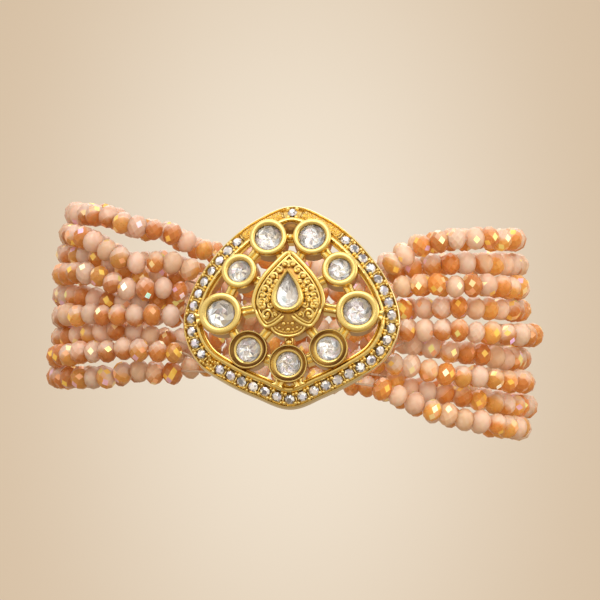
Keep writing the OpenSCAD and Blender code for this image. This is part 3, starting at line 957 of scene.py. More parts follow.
@dataclass
class Bezels:
    """Round settings with broad rounded rims on tall walls."""

    settings: list[Setting]
    high: float = 3.1
    seat_depth: float = 1.2
    gap: float = 0.03
    steps: int = 72
    cups_below: float = -6

    def profile(self, s: Setting) -> np.ndarray:
        """Section of a setting: its wall, its crown, either rounded or hollowed as a cup, and its seat.

        Args:
            s: the setting.

        Returns:
            Radii and heights.
        """
        seat = s.stone_r + self.gap
        band = s.r - seat
        wall = [(0.4, -self.high), (s.r - 0.12, -self.high), (s.r - 0.05, -2.95), (s.r - 0.05, -1.9),
                (s.r - 0.02, -1.75), (s.r, -1.6), (s.r, -0.75)]
        arc = np.radians([0, 18, 38, 60, 85, 110, 132, 150, 166])
        crown = np.stack([s.r - band / 2 + band / 2 * np.cos(arc), -0.40 + 0.40 * np.sin(arc) ** 0.9], -1)
        if s.y < self.cups_below:
            crown = [(s.r, -0.3), (s.r - 0.02, -0.1), (s.r - 0.08, -0.02), (s.r - 0.17, -0.02),
                     (s.r - 0.24, -0.1), (s.r - 0.3, -0.24), (s.r - 0.55 * band, -0.47),
                     (seat + 0.36 * band, -0.45), (seat + 0.3 * band, -0.36), (seat + 0.16 * band, -0.36),
                     (seat + 0.07, -0.42)]
        inner = [(seat + 0.02, -0.46), (seat, -0.6), (seat, -0.85), (seat - 0.02, -self.seat_depth),
                 (0.4, -self.seat_depth)]
        return np.concatenate([wall, crown, inner])

    def one(self, s: Setting, seed: int) -> Surface:
        """One setting: its section turned about its axis, a little uneven as hand work is.

        The radius takes two slow waves round the axis and the height another. The walls and the inner slope
        are in painted shade, and a deep cup's slopes darker still; a cup has a painted highlight at the top
        of its outer slope and at the foot of its inner one, by the square of the sine of the angle.

        Args:
            s: the setting.
            seed: its number, for the waves.

        Returns:
            The closed surface, in the plate.
        """
        seat = s.stone_r + self.gap
        band = s.r - seat
        profile = self.profile(s)
        radii, heights = profile.T
        made = lathe(profile, self.steps)
        a = np.arctan2(made.points[:, 1], made.points[:, 0])
        p = np.random.default_rng(SEED + seed).random(3) * 6.28
        wave = 1 + 0.010 * np.sin(2 * a + p[0]) + 0.006 * np.sin(3 * a + p[1])
        outer = np.linalg.norm(made.points[:, :2], axis=1) > seat + 0.1
        made.points[:, :2] *= np.where(outer, wave, 1)[:, None]
        made.points[:, 2] += np.where(outer & (made.points[:, 2] > -0.5), 0.03 * np.sin(2 * a + p[2]), 0)
        cup = s.y < self.cups_below
        # Painted shade: dark walls, a darker inner slope, and in a deep cup a dark slope.
        shade = np.where(heights < -1.3, 0.2, np.where(radii < seat + 0.35 * band, 0.8, 0.95))
        if cup:
            shade[(radii > seat + 0.33 * band) & (radii < s.r - 0.22) & (heights > -1.3)] = 0.1
            shade[(radii > s.r - 0.06) & (heights < -0.2)] = 0.25
        shade = np.minimum(shade[:-1], shade[1:])
        tint = np.repeat(shade[:, None], self.steps, 1)
        # Painted highlights on a deep cup's slopes, weaker on the left.
        if cup:
            k = int(np.argmax(shade < 0.15))
            up = np.sin((np.arange(self.steps) + 0.5) * 2 * np.pi / self.steps) * (0.8 if s.x > -1 else 0.35)
            tint[k:k + 3] += np.maximum(up, 0) ** 2
            tint[k + 2:k + 5] += np.maximum(-up, 0) ** 2
        # Painted deep shade on a cup's dark slope, lifted where a highlight is painted.
        sky = np.where(shade[:, None] < 0.15, 0.5 + 0.6 * tint, 1.0)
        made.tint[:, 0] = np.append(tint.ravel(), [0.2, 0.2])
        made.tint[:, 2] = np.append(sky.ravel(), [1.0, 1.0])
        return made.moved(s.matrix, s.shift)

    def surfaces(self) -> list[Surface]:
        """All the settings, in the plate."""
        return [self.one(s, k) for k, s in enumerate(self.settings)]


@dataclass
class Bars:
    """Bars that join the drop, the settings and the rim, each drawn as a pair of ridges."""

    half: tuple = (
        ((-1, 9.3), (1, 9.3)), ((1.9, 7.8), (0.8, 5.8)), ((5.5, 3.7), (3.2, 2.6)), ((7, -1.1), (4.4, -0.6)),
        ((4.2, -5.4), (2.6, -3.4)), ((4.6, 7.5), (5.8, 6)), ((7.8, 2.6), (8.6, 0.9)), ((8, -3.5), (7, -5.1)),
        ((3.6, -7.6), (1.8, -8.3)), ((0, -6.7), (0, -4.2)), ((11.8, -1.8), (12.8, -2)),
        ((6.8, -8.3), (7.1, -8.8)), ((1.2, -11), (1.5, -11.7)),
    )
    knobs: tuple = ((0, -5.75, 0.55), (-0.62, -6.35, 0.36), (0.62, -6.35, 0.36), (0, 9.3, 0.5))
    top: float = -1.75
    wide: float = 1.4

    def one(self, a: tuple[float, float], b: tuple[float, float]) -> Surface:
        """One bar: a section with two rounded ridges carried from a to b, a little wider at both ends.

        Args:
            a: one end, across and up.
            b: the other end.

        Returns:
            The closed surface, in the plate.
        """
        ridge = [(-0.5, -2.0), (-0.5, -0.6), (-0.47, -0.2), (-0.36, 0.02), (-0.22, 0.08), (-0.08, -0.02)]
        section = np.array([*ridge, (0, -0.16), *((-x, z) for x, z in ridge[::-1])])
        across, up = section.T[:, None, :, None]
        p, q = np.array([*a, self.top]), np.array([*b, self.top])
        t = np.linspace(-0.15, 1.15, 14)[:, None, None]
        side = unit(np.array([p[1] - q[1], q[0] - p[0], 0]))
        flare = 1 + 0.28 * np.abs(2 * t - 1) ** 3
        return Surface.grid(p + t * (q - p) + across * self.wide * flare * side + up * UP, round_u=False)

    def surfaces(self) -> list[Surface]:
        """All the bars, in the plate, with small balls and a web at the top painted in deep shade.

        Returns:
            The bars, the balls and the web.
        """
        made = []
        for a, b in self.half:
            made.append(self.one(a, b))
            if a[0] != -b[0]:
                made.append(self.one((-a[0], a[1]), (-b[0], b[1])))
        knobs = np.array(self.knobs)
        # Painted deep shade: a flattened ball that darkens the shadowed hollow under the upper tip.
        web = ball(7, 16).moved(np.diag([1.25, 1.0, 0.5]), np.array([0, 10.6, self.top - 0.35]))
        web.tint[:, 0], web.tint[:, 2] = 0.0, 0.4
        return [*made, balls(level(knobs[:, :2], self.top + 0.1), knobs[:, 2], 7, 14), web]


@dataclass
class Drop:
    """Raised drop of cast scrollwork with a setting for the pear stone."""

    base: float = -4.4
    crown_r: float = 15
    top: float = 0.2
    pear_w: float = 3.2
    pear_h: float = 4.9
    pear_up: float = 1.1
    edge_half: tuple = (
        (0, 7.15), (0.75, 6.5), (1.7, 5.45), (3.3, 3.55), (4.45, 1.6), (4.85, -0.2), (4.55, -1.4))
    lobe_half: tuple = (
        (4.5, -1.35), (4.05, -2.5), (3.2, -3.6), (2.3, -3.55), (1.35, -3.05), (0.55, -2.35))
    tip_half: tuple = ((0.0, 6.35), (0.35, 6.0), (0.55, 5.6), (0.5, 5.2))
    scroll_rows: tuple = ((8, 1.14, 0.56, 0.2, 0.07, 0.72), (6, 2.0, 0.34, 0.17, 0.30, 0.66))
    lobe_scrolls: tuple = (
        (2.95, -2.15, 0.86, 200, -1.1, 0.22), (3.75, -0.75, 0.6, 120, 0.9, 0.19),
        (2.35, -0.85, 0.5, 60, -0.9, 0.17), (1.75, -2.15, 0.4, 300, 0.9, 0.15))
    granules: tuple = (
        (-0.62, -3.35, 0.36), (0.62, -3.35, 0.36), (0, -4.12, 0.36), (-1.25, -3.85, 0.24),
        (1.25, -3.85, 0.24), (-0.68, -4.1, 0.2), (0.68, -4.1, 0.2), (0, -3.3, 0.2), (0, 5.55, 0.3),
        (-1.75, -4.0, 0.16), (1.75, -4.0, 0.16), (0, 6.75, 0.3))

    def cap(self, p: np.ndarray) -> np.ndarray:
        """Height of the drop's crown at points across and up: a ball of the crown's radius about (0, 1)."""
        return self.top + np.sqrt(self.crown_r**2 - p[..., 0] ** 2 - (p[..., 1] - 1) ** 2) - self.crown_r

    def on_cap(self, p: np.ndarray, rise: float | np.ndarray = 0) -> np.ndarray:
        """Points lifted onto the crown."""
        return np.concatenate([p, (self.cap(p) + rise)[..., None]], -1)

    def outline(self) -> np.ndarray:
        """Closed outline of the drop: its edge, the lobes' corners and the fan.

        Returns:
            Points across and up.
        """
        half = [(0, 7.25), (1.75, 5.55), (3.45, 3.6), (4.65, 1.6), (5.0, -0.3), (4.6, -1.7), (4.0, -2.9),
                (3.25, -3.75), (2.3, -4.25), (1.3, -4.85), (0, -5.1)]
        return curve(np.array(half + [(-x, y) for x, y in half[-2:0:-1]], float), 160, closed=True)

    def pear(self, grow: float, steps: int = 72) -> np.ndarray:
        """Outline of the pear stone: a sine across, narrowed by the half angle's sine, and a cosine up.

        Args:
            grow: how far the outline is grown outwards.
            steps: number of points.

        Returns:
            Points across and up, with the point of the pear at the top.
        """
        t = 2 * np.pi * (np.arange(steps) + 0.5) / steps
        x = -(self.pear_w / 2 + grow) * 1.19 * np.sin(t) * np.abs(np.sin(t / 2)) ** 1.1
        y = self.pear_up + (self.pear_h / 2 + grow * 0.72) * np.cos(t)
        return np.stack([x, y], -1)

    def body(self) -> Surface:
        """Crown of the drop: rings from its middle to its outline, then a wall down to its base.

        Returns:
            The closed surface, in painted shade under the relief and on its walls.
        """
        edge = self.outline()
        middle = np.array([0, 0.6])
        t = np.append(np.linspace(0.05, 0.96, 22), [0.985, 1.0])[:, None, None]
        top = self.on_cap(middle + t * (edge - middle), -0.04)
        top[-1, :, 2] -= 0.12
        walls = [level(edge * k, z) for z, k in ((-1.9, 1.0), (-3.0, 0.985), (self.base, 0.96))]
        made = Surface.grid(np.concatenate([top, walls]), round_u=False)
        # Painted shade under the relief, and on the walls.
        made.shade_rows(np.append(np.full(len(top) - 1, 0.16), np.full(len(walls), 0.3)), 0.3)
        return made

    def bezel(self) -> Surface:
        """Setting of the pear stone: a rounded band between two grown outlines, on a flared wall.

        Returns:
            The closed surface, in painted shade at its foot and on its inner wall.
        """
        rows = ((1.0, -1.4), (0.98, 0.2), (0.95, 0.75), (0.90, 1.05), (0.76, 1.27), (0.55, 1.38),
                (0.34, 1.34), (0.18, 1.2), (0.10, 1.02), (0.06, 0.8), (0.05, 0.15))
        made = Surface.grid(np.array([level(self.pear(grow), z) for grow, z in rows]), round_u=False)
        # Painted shade at the foot and on the inner wall.
        made.shade_rows(np.array([0.3, 0.7, 1, 1, 1, 1, 1, 1, 0.9, 0.7]), 0.2)
        return made

    def line(self, knots: tuple, radius: float, inset: float, rise: float, steps: int = 60) -> list[Surface]:
        """Wire through knots on the crown, thinner at both ends, and its mirror image.

        Args:
            knots: places across and up.
            radius: radius of the wire in its middle.
            inset: distance to the right of the knots' curve.
            rise: height over the crown.
            steps: points along the wire.

        Returns:
            Both wires.
        """
        p = curve(np.array(knots, float), steps)
        d = np.gradient(p, axis=0)
        p = p + inset * unit(np.stack([d[:, 1], -d[:, 0]], -1))
        t = np.linspace(0, 8, steps)
        r = radius * (0.55 + 0.45 * smooth_step(t) * smooth_step(8 - t))
        return [wire(self.on_cap(p * [side, 1], rise), r) for side in (1, -1)]

    def scroll(self, x: float, y: float, r: float, start: float, turns: float, thick: float) -> list[Surface]:
        """Curl on the crown, and its mirror image.

        The path is a spiral about (x, y) that shrinks evenly to a fifth of its radius, and its wire thins
        towards the outer end. A small ball closes the inner end.

        Args:
            x: middle across.
            y: middle up.
            r: outer radius.
            start: angle of the outer end in degrees.
            turns: turns to the inner end, below 0 clockwise.
            thick: the wire's radius.

        Returns:
            Both wires and their balls.
        """
        t = np.linspace(0, 1, 36)
        a = np.radians(start) + 2 * np.pi * turns * t
        p = np.array([x, y]) + (r * (1 - 0.8 * t))[:, None] * np.stack([np.cos(a), np.sin(a)], -1)
        made = []
        for side in (1, -1):
            q = p * [side, 1]
            made.append(wire(self.on_cap(q, 0.16 + 0.2 * t), thick * (0.8 + 0.55 * t), sides=8))
            made.append(balls(self.on_cap(q[-1:], 0.34), [thick * 1.6], 5, 8))
        return made

    def relief(self) -> list[Surface]:
        """Edge wires, scrolls, lobes, fan and granules.

        Returns:
            Their surfaces, in the plate.
        """
        made = [*self.line(self.edge_half, 0.30, 0.0, 0.2), *self.line(self.edge_half, 0.17, 0.56, 0.14),
                *self.line(self.lobe_half, 0.27, 0.0, 0.26), *self.line(self.lobe_half, 0.16, 0.46, 0.2)]
        path = curve(np.array(self.edge_half[1:] + self.lobe_half[1:4], float), 400)
        far, ahead = run(path), unit(np.gradient(path, axis=0))
        for count, inset, r, thick, first, last in self.scroll_rows:
            for k, d in enumerate(far[-1] * np.linspace(first, last, count)):
                p, q = (np.array([np.interp(d, far, v[:, m]) for m in (0, 1)]) for v in (path, ahead))
                x, y = p + inset * unit(np.array([q[1], -q[0]]))
                side = 1 if k % 2 else -1
                start = math.degrees(math.atan2(q[1], q[0])) + 90 * side
                made += self.scroll(x, y, r, start, 0.85 * side, thick)
        for row in self.lobe_scrolls:
            made += self.scroll(*row)
        made += self.line(self.tip_half, 0.15, 0, 0.14, 24)
        t = np.linspace(-1, 1, 60)
        fan = np.stack([2.35 * np.sin(t * 1.45), -3.55 - 1.42 * np.cos(t * 1.45)], -1)
        inner = np.stack([1.95 * np.sin(t * 1.35), -3.5 - 1.02 * np.cos(t * 1.35)], -1)
        made += [wire(self.on_cap(fan, 0.1), 0.2), wire(self.on_cap(inner, 0.06), 0.11, sides=8)]
        dots = np.array(self.granules)
        return [*made, balls(self.on_cap(dots[:, :2], 0.08), dots[:, 2], 6, 12)]

    def surfaces(self) -> list[Surface]:
        """All the drop's gilt surfaces, in the plate."""
        return [self.body(), self.bezel(), *self.relief()]


@dataclass
class Rails:
    """Plain rails behind the rim that the strands are tied to, each hole with a rolled edge."""

    plate: Plate
    out: float = 0.9
    inner: float = 2.4
    base: float = -7.3
    hole_w: float = -6.6
    hole_r: float = 0.42
    end: float = 7
    left: tuple[float, float] = (36, 9)
    right: tuple[float, float] = (26, 9.5)
    count: int = 9

    def angle(self, i: int, side: int) -> np.ndarray:
        """Angle of a strand's hole, as an array of one."""
        left, right = 180.0 - self.left[0] + self.left[1] * i, self.right[0] - self.right[1] * i
        return np.array([left if side < 0 else right])

    def hole(self, i: int, side: int, inset: float) -> np.ndarray:
        """Point of a strand's hole, in the bracelet's frame."""
        return self.plate.place(level(self.plate.edge(self.angle(i, side), inset)[:, :2], self.hole_w)[0])

    def rail(self, side: int) -> Surface:
        """One rail: a slab behind the rim, along the plate's edge, with its lower corners cut off.

        Args:
            side: -1 for the left and 1 for the right.

        Returns:
            The closed surface, in the plate.
        """
        first, last = (self.angle(i, side)[0] for i in (0, self.count - 1))
        a = np.linspace(first + side * self.end, last - side * self.end, 60)
        outer, inner = self.plate.edge(a, self.out), self.plate.edge(a, self.inner)
        shares = np.array([0, 0, 0.12, 0.88, 1, 1])[:, None]
        points = outer[:, None, :] + shares * (inner - outer)[:, None, :]
        points[:, [0, -1], 2] -= 0.9
        points[:, 1:-1, 2] = -7.1, self.base, self.base, -7.1
        return Surface.grid(points, round_u=False)

    def hole_edge(self, i: int, side: int) -> Surface:
        """Rolled edge of a strand's hole: a ring on the rail's outer face.

        Args:
            i: number of the strand, from 0 at the top.
            side: -1 for the left and 1 for the right.

        Returns:
            The closed surface, in the plate.
        """
        angle = self.angle(i, side)
        middle = level(self.plate.edge(angle, self.out)[:, :2], self.hole_w)
        n = level(self.plate.edge_normal(angle), 0)[0]
        t = np.linspace(0, 2 * np.pi, 20, endpoint=False)[:, None]
        ring = middle + self.hole_r * (np.cos(t) * np.cross(UP, n) + np.sin(t) * UP)
        return wire(ring, 0.12, n, 6, closed=True)

    def surfaces(self) -> list[Surface]:
        """Both rails and their holes' edges, in the plate.

        Returns:
            Their surfaces, a little shaded.
        """
        made = []
        for side in (-1, 1):
            made += [self.rail(side), *(self.hole_edge(i, side) for i in range(self.count))]
        for surface in made:
            surface.tint[:, 0] = 0.6
        return made


# Stones


@dataclass
class RoundStones:
    """Clear round stones, each a cut crown over foiled facets."""

    plate: Plate
    settings: list[Setting]
    seat_depth: float = 1.2
    clearance: float = 0.06
    girdle: float = 0.06
    broad: str = "side_left"
    hues: tuple = ((0.93, 0.89, 0.84), (0.98, 0.87, 0.68), (0.80, 0.88, 0.97), (0.98, 0.83, 0.89))

    def crown(self, r: float, n: int = 10, table: float = 0.58, high: float = 0.45) -> Surface:
        """Crown of a stone: table, star and kite facets, a thin girdle and a flat back.

        Args:
            r: radius of the stone.
            n: number of facets of each kind.
            table: the table's radius as a share of the stone's.
            high: height of the table.

        Returns:
            The closed surface, about Z.
        """
        k, m = np.arange(n), 2 * n
        a0, a1, b = 2 * np.pi * k / n, 2 * np.pi * (k + 0.5) / n, np.pi * np.arange(m) / n
        points = np.concatenate([
            circle(table * r, a0, high),
            circle(0.5 * (table + 1) * r * 1.02, a1, high * 0.52),
            circle(r, b, self.girdle),
            circle(r, b, -self.girdle),
        ])
        t, s = k, n + k
        g, h = m + np.arange(m), 2 * m + np.arange(m)
        g0, g1, g2 = (m + (2 * k + step) % m for step in range(3))
        tris = ((t, s, np.roll(t, -1)), (g0, g1, s), (g1, g2, s))
        quads = ((t, np.roll(s, 1), g0, s), (g, h, np.roll(h, -1), np.roll(g, -1)))
        faces = [np.stack(f, -1) for f in tris + quads]
        return Surface.of_faces(points, [*faces, t[None, :], h[None, ::-1]])

    def foil(self, r: float, seed: int, n: int, bright: float) -> Surface:
        """Foiled facets under a stone: a shallow faceted bowl whose facets carry painted glints and shade.

        Args:
            r: radius of the stone.
            seed: the stone's number.
            n: half the number of facets round it.
            bright: painted brightness of the whole foil.

        Returns:
            The closed surface, about Z.
        """
        rng = np.random.default_rng(SEED + 40 + seed)
        m, j = 2 * n, np.arange(2 * n)
        after = (j + 1) % m
        rows = []
        for q, (share, z) in enumerate(((1.0, -0.10), (0.74, -0.30), (0.46, -0.43), (0.16, -0.46))):
            a = 2 * np.pi * (j + 0.5 * (q % 2)) / m + 0.05 * rng.standard_normal(m)
            rad = share * r * (1 + 0.05 * rng.standard_normal(m) * (q > 0))
            z = np.maximum(z + 0.05 * rng.standard_normal(m) * (q > 0), -0.53)
            rows.append(np.stack([rad * np.cos(a), rad * np.sin(a), z], -1))
        points = np.concatenate([*rows, [[0, 0, -0.45]], level(rows[0][:, :2], -0.55)])
        faces = []
        for q in range(0, 3 * m, m):
            a, b, c, d = q + j, q + after, q + m + j, q + m + after
            faces += [np.stack([a, b, c], -1), np.stack([b, d, c], -1)]
        foot = 4 * m + 1
        faces.append(np.stack([3 * m + j, 3 * m + after, np.full(m, 4 * m)], -1))
        faces.append(np.stack([j, after, foot + after, foot + j], -1))
        made = Surface.of_faces(points, [*faces, (foot + j)[None, :]])
        # Painted glints and shade: each facet lighter or darker by chance, in a few tints.
        light = rng.choice([0.34, 0.58, 0.78, 0.96, 1.2], len(made.sizes), p=[0.14, 0.2, 0.24, 0.24, 0.18])
        hue = np.array(self.hues)[rng.integers(0, len(self.hues), len(light))]
        made.tint[:, :3] = np.clip(light[:, None] * hue * bright, 0, 1)
        return made

    def build(self, foil: bpy.types.Material, clear: bpy.types.Material) -> None:
        """Puts a crown and its foil in each setting.

        Args:
            foil: finish of the foiled facets.
            clear: finish of the crowns.
        """
        up = np.array([0, 0, 0.5 + self.clearance - self.seat_depth])
        # Painted light: some stones' foils lie in painted shade, the broad one in painted light.
        brightness = {"bottom": 0.86, "side_right": 0.88, self.broad: 1.12}
        for k, s in enumerate(self.settings):
            broad = s.name == self.broad
            crown = self.crown(s.stone_r, 8, 0.74, 0.4) if broad else self.crown(s.stone_r)
            under = self.foil(s.stone_r, k, 4 if broad else 6, brightness.get(s.name, 1.0))
            for kind, surface, material in (("foil", under, foil), ("crown", crown, clear)):
                inside = surface.moved(turn_about(Axis.Z, 17.0 * k), up).moved(s.matrix, s.shift)
                inside.points = self.plate.place(inside.points)
                node = f"stone_{s.name}"
                inside.piece(f"{node}_{kind}", "clear_stones", material, [node], smooth=False)


@dataclass
class PearStone:
    """Clear pear-shaped stone over foiled facets."""

    plate: Plate
    drop: Drop
    low: float = 0.21

    def crown(self) -> Surface:
        """Crown: a table, one row of facets and a flat back, from scaled copies of the pear's outline.

        Returns:
            The closed surface, in the plate.
        """
        outer = self.drop.pear(0, 24)
        middle = np.array([0, self.drop.pear_up - 0.35])
        rows = [level(middle + k * (outer - middle), self.low + z)
                for k, z in ((0.97, 0.42), (1.0, 0.55), (0.8, 0.85), (0.56, 1.05))]
        return Surface.grid(np.array(rows), round_u=False)

    def foil(self) -> Surface:
        """Foiled facets: rings of the outline shrunk towards a point, in painted shade at the top and painted
        light low down.

        Returns:
            The closed surface, in the plate.
        """
        rng = np.random.default_rng(SEED + 90)
        outer = self.drop.pear(0, 12)
        middle = np.array([0.15, self.drop.pear_up - 0.6])
        rows = [level(middle + k * (outer - middle), self.low + z + uneven * rng.standard_normal(len(outer)))
                for k, z, uneven in ((1.0, -0.02, 0), (1.0, 0.36, 0), (0.66, 0.22, 0.04), (0.30, 0.08, 0.03))]
        made = Surface.grid(np.array(rows), round_u=False)
        across, up, _ = made.face_middles().T
        # Painted light: brighter low down, with a cool painted reflection on the lower left.
        low = smooth_step((self.drop.pear_up + 0.9 - up) / 1.8)
        light = 0.55 + 0.6 * low + 0.16 * rng.standard_normal(len(low))
        cold = (across < -0.3) & (low > 0.6)
        hue = np.where(cold[:, None], np.array([0.82, 0.92, 0.97]), np.array([0.97, 0.92, 0.88]))
        made.tint[:, :3] = np.clip(light[:, None] * hue, 0.2, 1.3)
        return made

    def build(self, foil: bpy.types.Material, clear: bpy.types.Material) -> None:
        """Puts the crown and its foil in the drop.

        Args:
            foil: finish of the foiled facets.
            clear: finish of the crown.
        """
        for kind, surface, material in (("foil", self.foil(), foil), ("crown", self.crown(), clear)):
            surface.points = self.plate.place(surface.points)
            surface.piece(f"stone_pear_{kind}", "clear_stones", material, ["pear_stone"], smooth=False)


@dataclass
class SmallStones:
    """Small cut stones of the rim."""

    plate: Plate
    rim: Rim
    r: float = 0.70
    hues: tuple = ((0.78, 0.82, 0.98), (0.95, 0.89, 0.88), (0.84, 0.79, 0.98))

    def one(self, n: int = 8) -> Surface:
        """One stone of radius 1: a table, its facets and a flat back, a few dozen faces in all.

        Args:
            n: number of facets of each kind.

        Returns:
            The closed surface, about Z.
        """
        k = np.arange(n)
        a0, a1 = 2 * np.pi * k / n, 2 * np.pi * (k + 0.5) / n
        points = np.concatenate([circle(0.52, a0, 0.42), circle(1.0, a1, 0.0), circle(0.5, a0, -0.5)])
        t, g, b = k, n + k, 2 * n + k
        t1, g1, b1 = (np.roll(ring, -1) for ring in (t, g, b))
        faces = [np.stack(f, -1) for f in ((t, g, t1), (t1, g, g1), (b, b1, g), (b1, g1, g))]
        return Surface.of_faces(points, [*faces, t[None, :], b[None, ::-1]])

    def build(self, material: bpy.types.Material) -> None:
        """Puts a stone in each seat, turned unevenly, with painted glints and shade on its facets.

        Args:
            material: finish of the stones.
        """
        stones, _ = self.rim.seats()
        rng = np.random.default_rng(SEED + 5)
        p = self.plate.edge(stones, self.rim.inset - 0.08, -0.06)
        turns = []
        for x, y, _ in p:
            lean = math.degrees(math.asin(math.hypot(x, y) / self.plate.dome_r)) + rng.normal(0, 5)
            tilt, roll = rng.normal(0, 5), rng.random() * 45
            facing = turn_about(Axis.Z, math.degrees(math.atan2(y, x))) @ turn_about(Axis.Y, lean)
            turns.append(facing @ turn_about(Axis.X, tilt) @ turn_about(Axis.Z, roll) * self.r)
        one = self.one()
        shape = (len(p), len(one.sizes))
        # Painted glints and shade: each facet lighter or darker by chance.
        light = rng.choice([0.2, 0.52, 0.9, 1.25], shape, p=[0.2, 0.25, 0.27, 0.28])
        hue = np.array(self.hues)[rng.integers(0, len(self.hues), shape)]
        tints = np.concatenate([np.clip(light[..., None] * hue, 0, 1), np.ones((*shape, 1))], -1)
        made = one.copies(np.array(turns), p, tints)
        made.points = self.plate.place(made.points)
        made.piece("pave_stones_cut", "clear_stones", material, ["pave_stones"], smooth=False)


# Strands


MILKY = np.array([
    [0.58, 0.35, 0.23], [0.61, 0.41, 0.29], [0.53, 0.36, 0.25], [0.58, 0.42, 0.33], [0.55, 0.34, 0.18]])
AMBER = np.array([[0.58, 0.24, 0.05], [0.62, 0.31, 0.07], [0.52, 0.20, 0.045]])
# Colours of the painted glints on a few facets, in the hues that the lustre flashes.
FLASH = np.array([
    [1.0, 0.74, 0.16], [0.95, 0.52, 0.30], [1.0, 0.86, 0.50], [0.80, 0.55, 0.84], [0.88, 0.92, 0.36]])


class Coat(Enum):
    """How much of a bead the amber lustre covers, with its share of the beads."""

    BARE = 0.36
    HALF = 0.52
    FULL = 0.12


@dataclass
class Strands:
    """Nine strands of faceted beads on elastic threads, routed as in the part's source.

    A spark is a painted glint: a place across and up and a colour. A strand's row holds its heights at
    five stations in front, its end beside the plate and what its reach adds.
    """

    rails: Rails
    bead_d: float = 3.25
    bead_len: float = 2.46
    cad_len: float = 2.15
    pitch: float = 2.5
    thread_r: float = 0.15
    reach_left: float = 30.25
    reach_right: float = 30.7
    half_d: float = 18
    square: float = 3
    skew: float = 0.09
    layer: float = 1.35
    layer_side: float = 0.3
    layer_back: float = 1.45
    spread: float = 0.3
    back_swing: float = 1
    swap: float = 6
    first: float = 12
    step: float = 5
    lead_length: float = 13
    rail_drop: float = 0.8
    samples: int = 301
    lone_threads: tuple[int, ...] = (0, 4, 8)
    # Painted glints, each on one facet of the bead in front.
    sparks: tuple = (
        (-23.6, 2.7, (1.9, 1.8, 1.6)), (-20.2, 0.7, (0.5, 1.7, 1.7)), (-27.5, 0.6, (1.2, 1.2, 0.6)),
        (-15.3, 1.4, (0.95, 0.75, 0.95)), (-25.5, -6.1, (1.5, 1.2, 0.4)), (-14.9, -6.1, (1.5, 1.3, 0.5)),
        (-27.6, -6, (0.95, 1.0, 0.6)), (-21, 11.2, (0.95, 0.65, 0.8)), (25.9, 9.6, (1.0, 1.3, 0.5)),
        (22.4, -6.2, (1.5, 1.3, 0.4)), (31, -6.6, (0.9, 0.6, 1.3)), (20.6, -14.1, (1.4, 1.3, 0.7)),
        (21.3, -8.9, (1.2, 1.2, 0.7)), (23, 2.9, (1.4, 1.15, 0.6)), (20.9, 9.4, (1.3, 1.1, 0.5)),
        (29.6, -12.9, (1.4, 1.3, 1.1)), (17.7, 3.2, (1.3, 1.1, 0.5)), (26.6, 2.9, (1.3, 0.95, 0.5)),
        (-29.3, 6.6, (1.3, 1.0, 0.7)), (31.4, 9.6, (1.4, 1.2, 0.6)))
    left: tuple = (
        (7.6, 10, 10.9, 12.6, 12.8, 12.3, 0), (4.4, 6.2, 6.2, 9.25, 10.1, 13.9, -0.1),
        (2.8, 4.1, 4.2, 6.6, 7.15, 16.2, 1.1), (1.2, 2.4, 2.4, 4.5, 4.25, 15, 0.8),
        (-0.4, 0.7, 0.6, 0.9, 1.42, 16.1, 1.6), (-2, -1.1, -1.4, -1.2, -1.43, 16.5, 1.05),
        (-4.4, -4.6, -3.6, -3.4, -4.22, 17.3, 1.95), (-6.3, -6.4, -6, -6.3, -7.03, 15.9, 1.65),
        (-8.2, -9.1, -9.1, -9.9, -9.85, 16.6, 2.35))
    right: tuple = (
        (5, 8, 9.1, 9.4, 9, 13.6, 0), (3.5, 5.3, 5.8, 6.1, 5.5, 14.8, 0.3), (2, 2.9, 2.8, 2.9, 2.45, 15, 0.4),
        (-0.8, -0.4, -0.2, -0.2, -0.6, 15.9, 0.7), (-3.8, -3.4, -3.3, -3.7, -4.1, 15.5, 2.1),
        (-5.5, -5.2, -6.2, -6.7, -7.4, 17.2, 0.7), (-7.7, -8.4, -9.5, -9.9, -10.4, 14, 1.3),
        (-9.3, -11.4, -12.1, -13.1, -13.8, 14.4, 1.6), (-11.3, -13.6, -15.2, -16.3, -16.9, 12.4, 0.6))

    def reach(self, i: int, sign: np.ndarray) -> np.ndarray:
        """Half the width of a strand's loop on each side."""
        return np.where(sign < 0, self.reach_left + self.left[i][6], self.reach_right + self.right[i][6])

    def front_angle(self, i: int, x: float) -> float:
        """Angle of the loop's front at a distance to the right."""
        u = x / float(self.reach(i, np.sign(x)))
        return math.degrees(math.atan2(-((1 - abs(u) ** self.square) ** (1 / self.square)), u))

    def front_height(self, row: np.ndarray, x: np.ndarray) -> np.ndarray:
        """Height of a strand in front: a spline through its stations.

        Args:
            row: heights at the five stations.
            x: distances from the middle.

        Returns:
            Heights.
        """
        f = np.clip((x - self.first) / self.step, 0, 3.999)
        k = f.astype(int)
        return spline([row[np.clip(k + m, 0, 4)] for m in (-1, 0, 1, 2)], f - k)

    def height(self, i: int, x: np.ndarray, y: np.ndarray) -> np.ndarray:
        """Height of a strand: as in front on both sides, with a spline between them behind the plate.

        Args:
            i: number of the strand, from 0 at the top.
            x: distances to the right.
            y: distances to the back.

        Returns:
            Heights.
        """
        left, right = np.array(self.left[i][:5]), np.array(self.right[i][:5])
        front = np.where(x < 0, self.front_height(left, -x), self.front_height(right, x))
        before = right[0] + self.back_swing * (left[1] - left[0])
        after = left[0] + self.back_swing * (right[1] - right[0])
        middle = spline([before, left[0], right[0], after], (x + self.first) / (2 * self.first))
        return np.where((y < 0) | (np.abs(x) > self.first), front, middle)

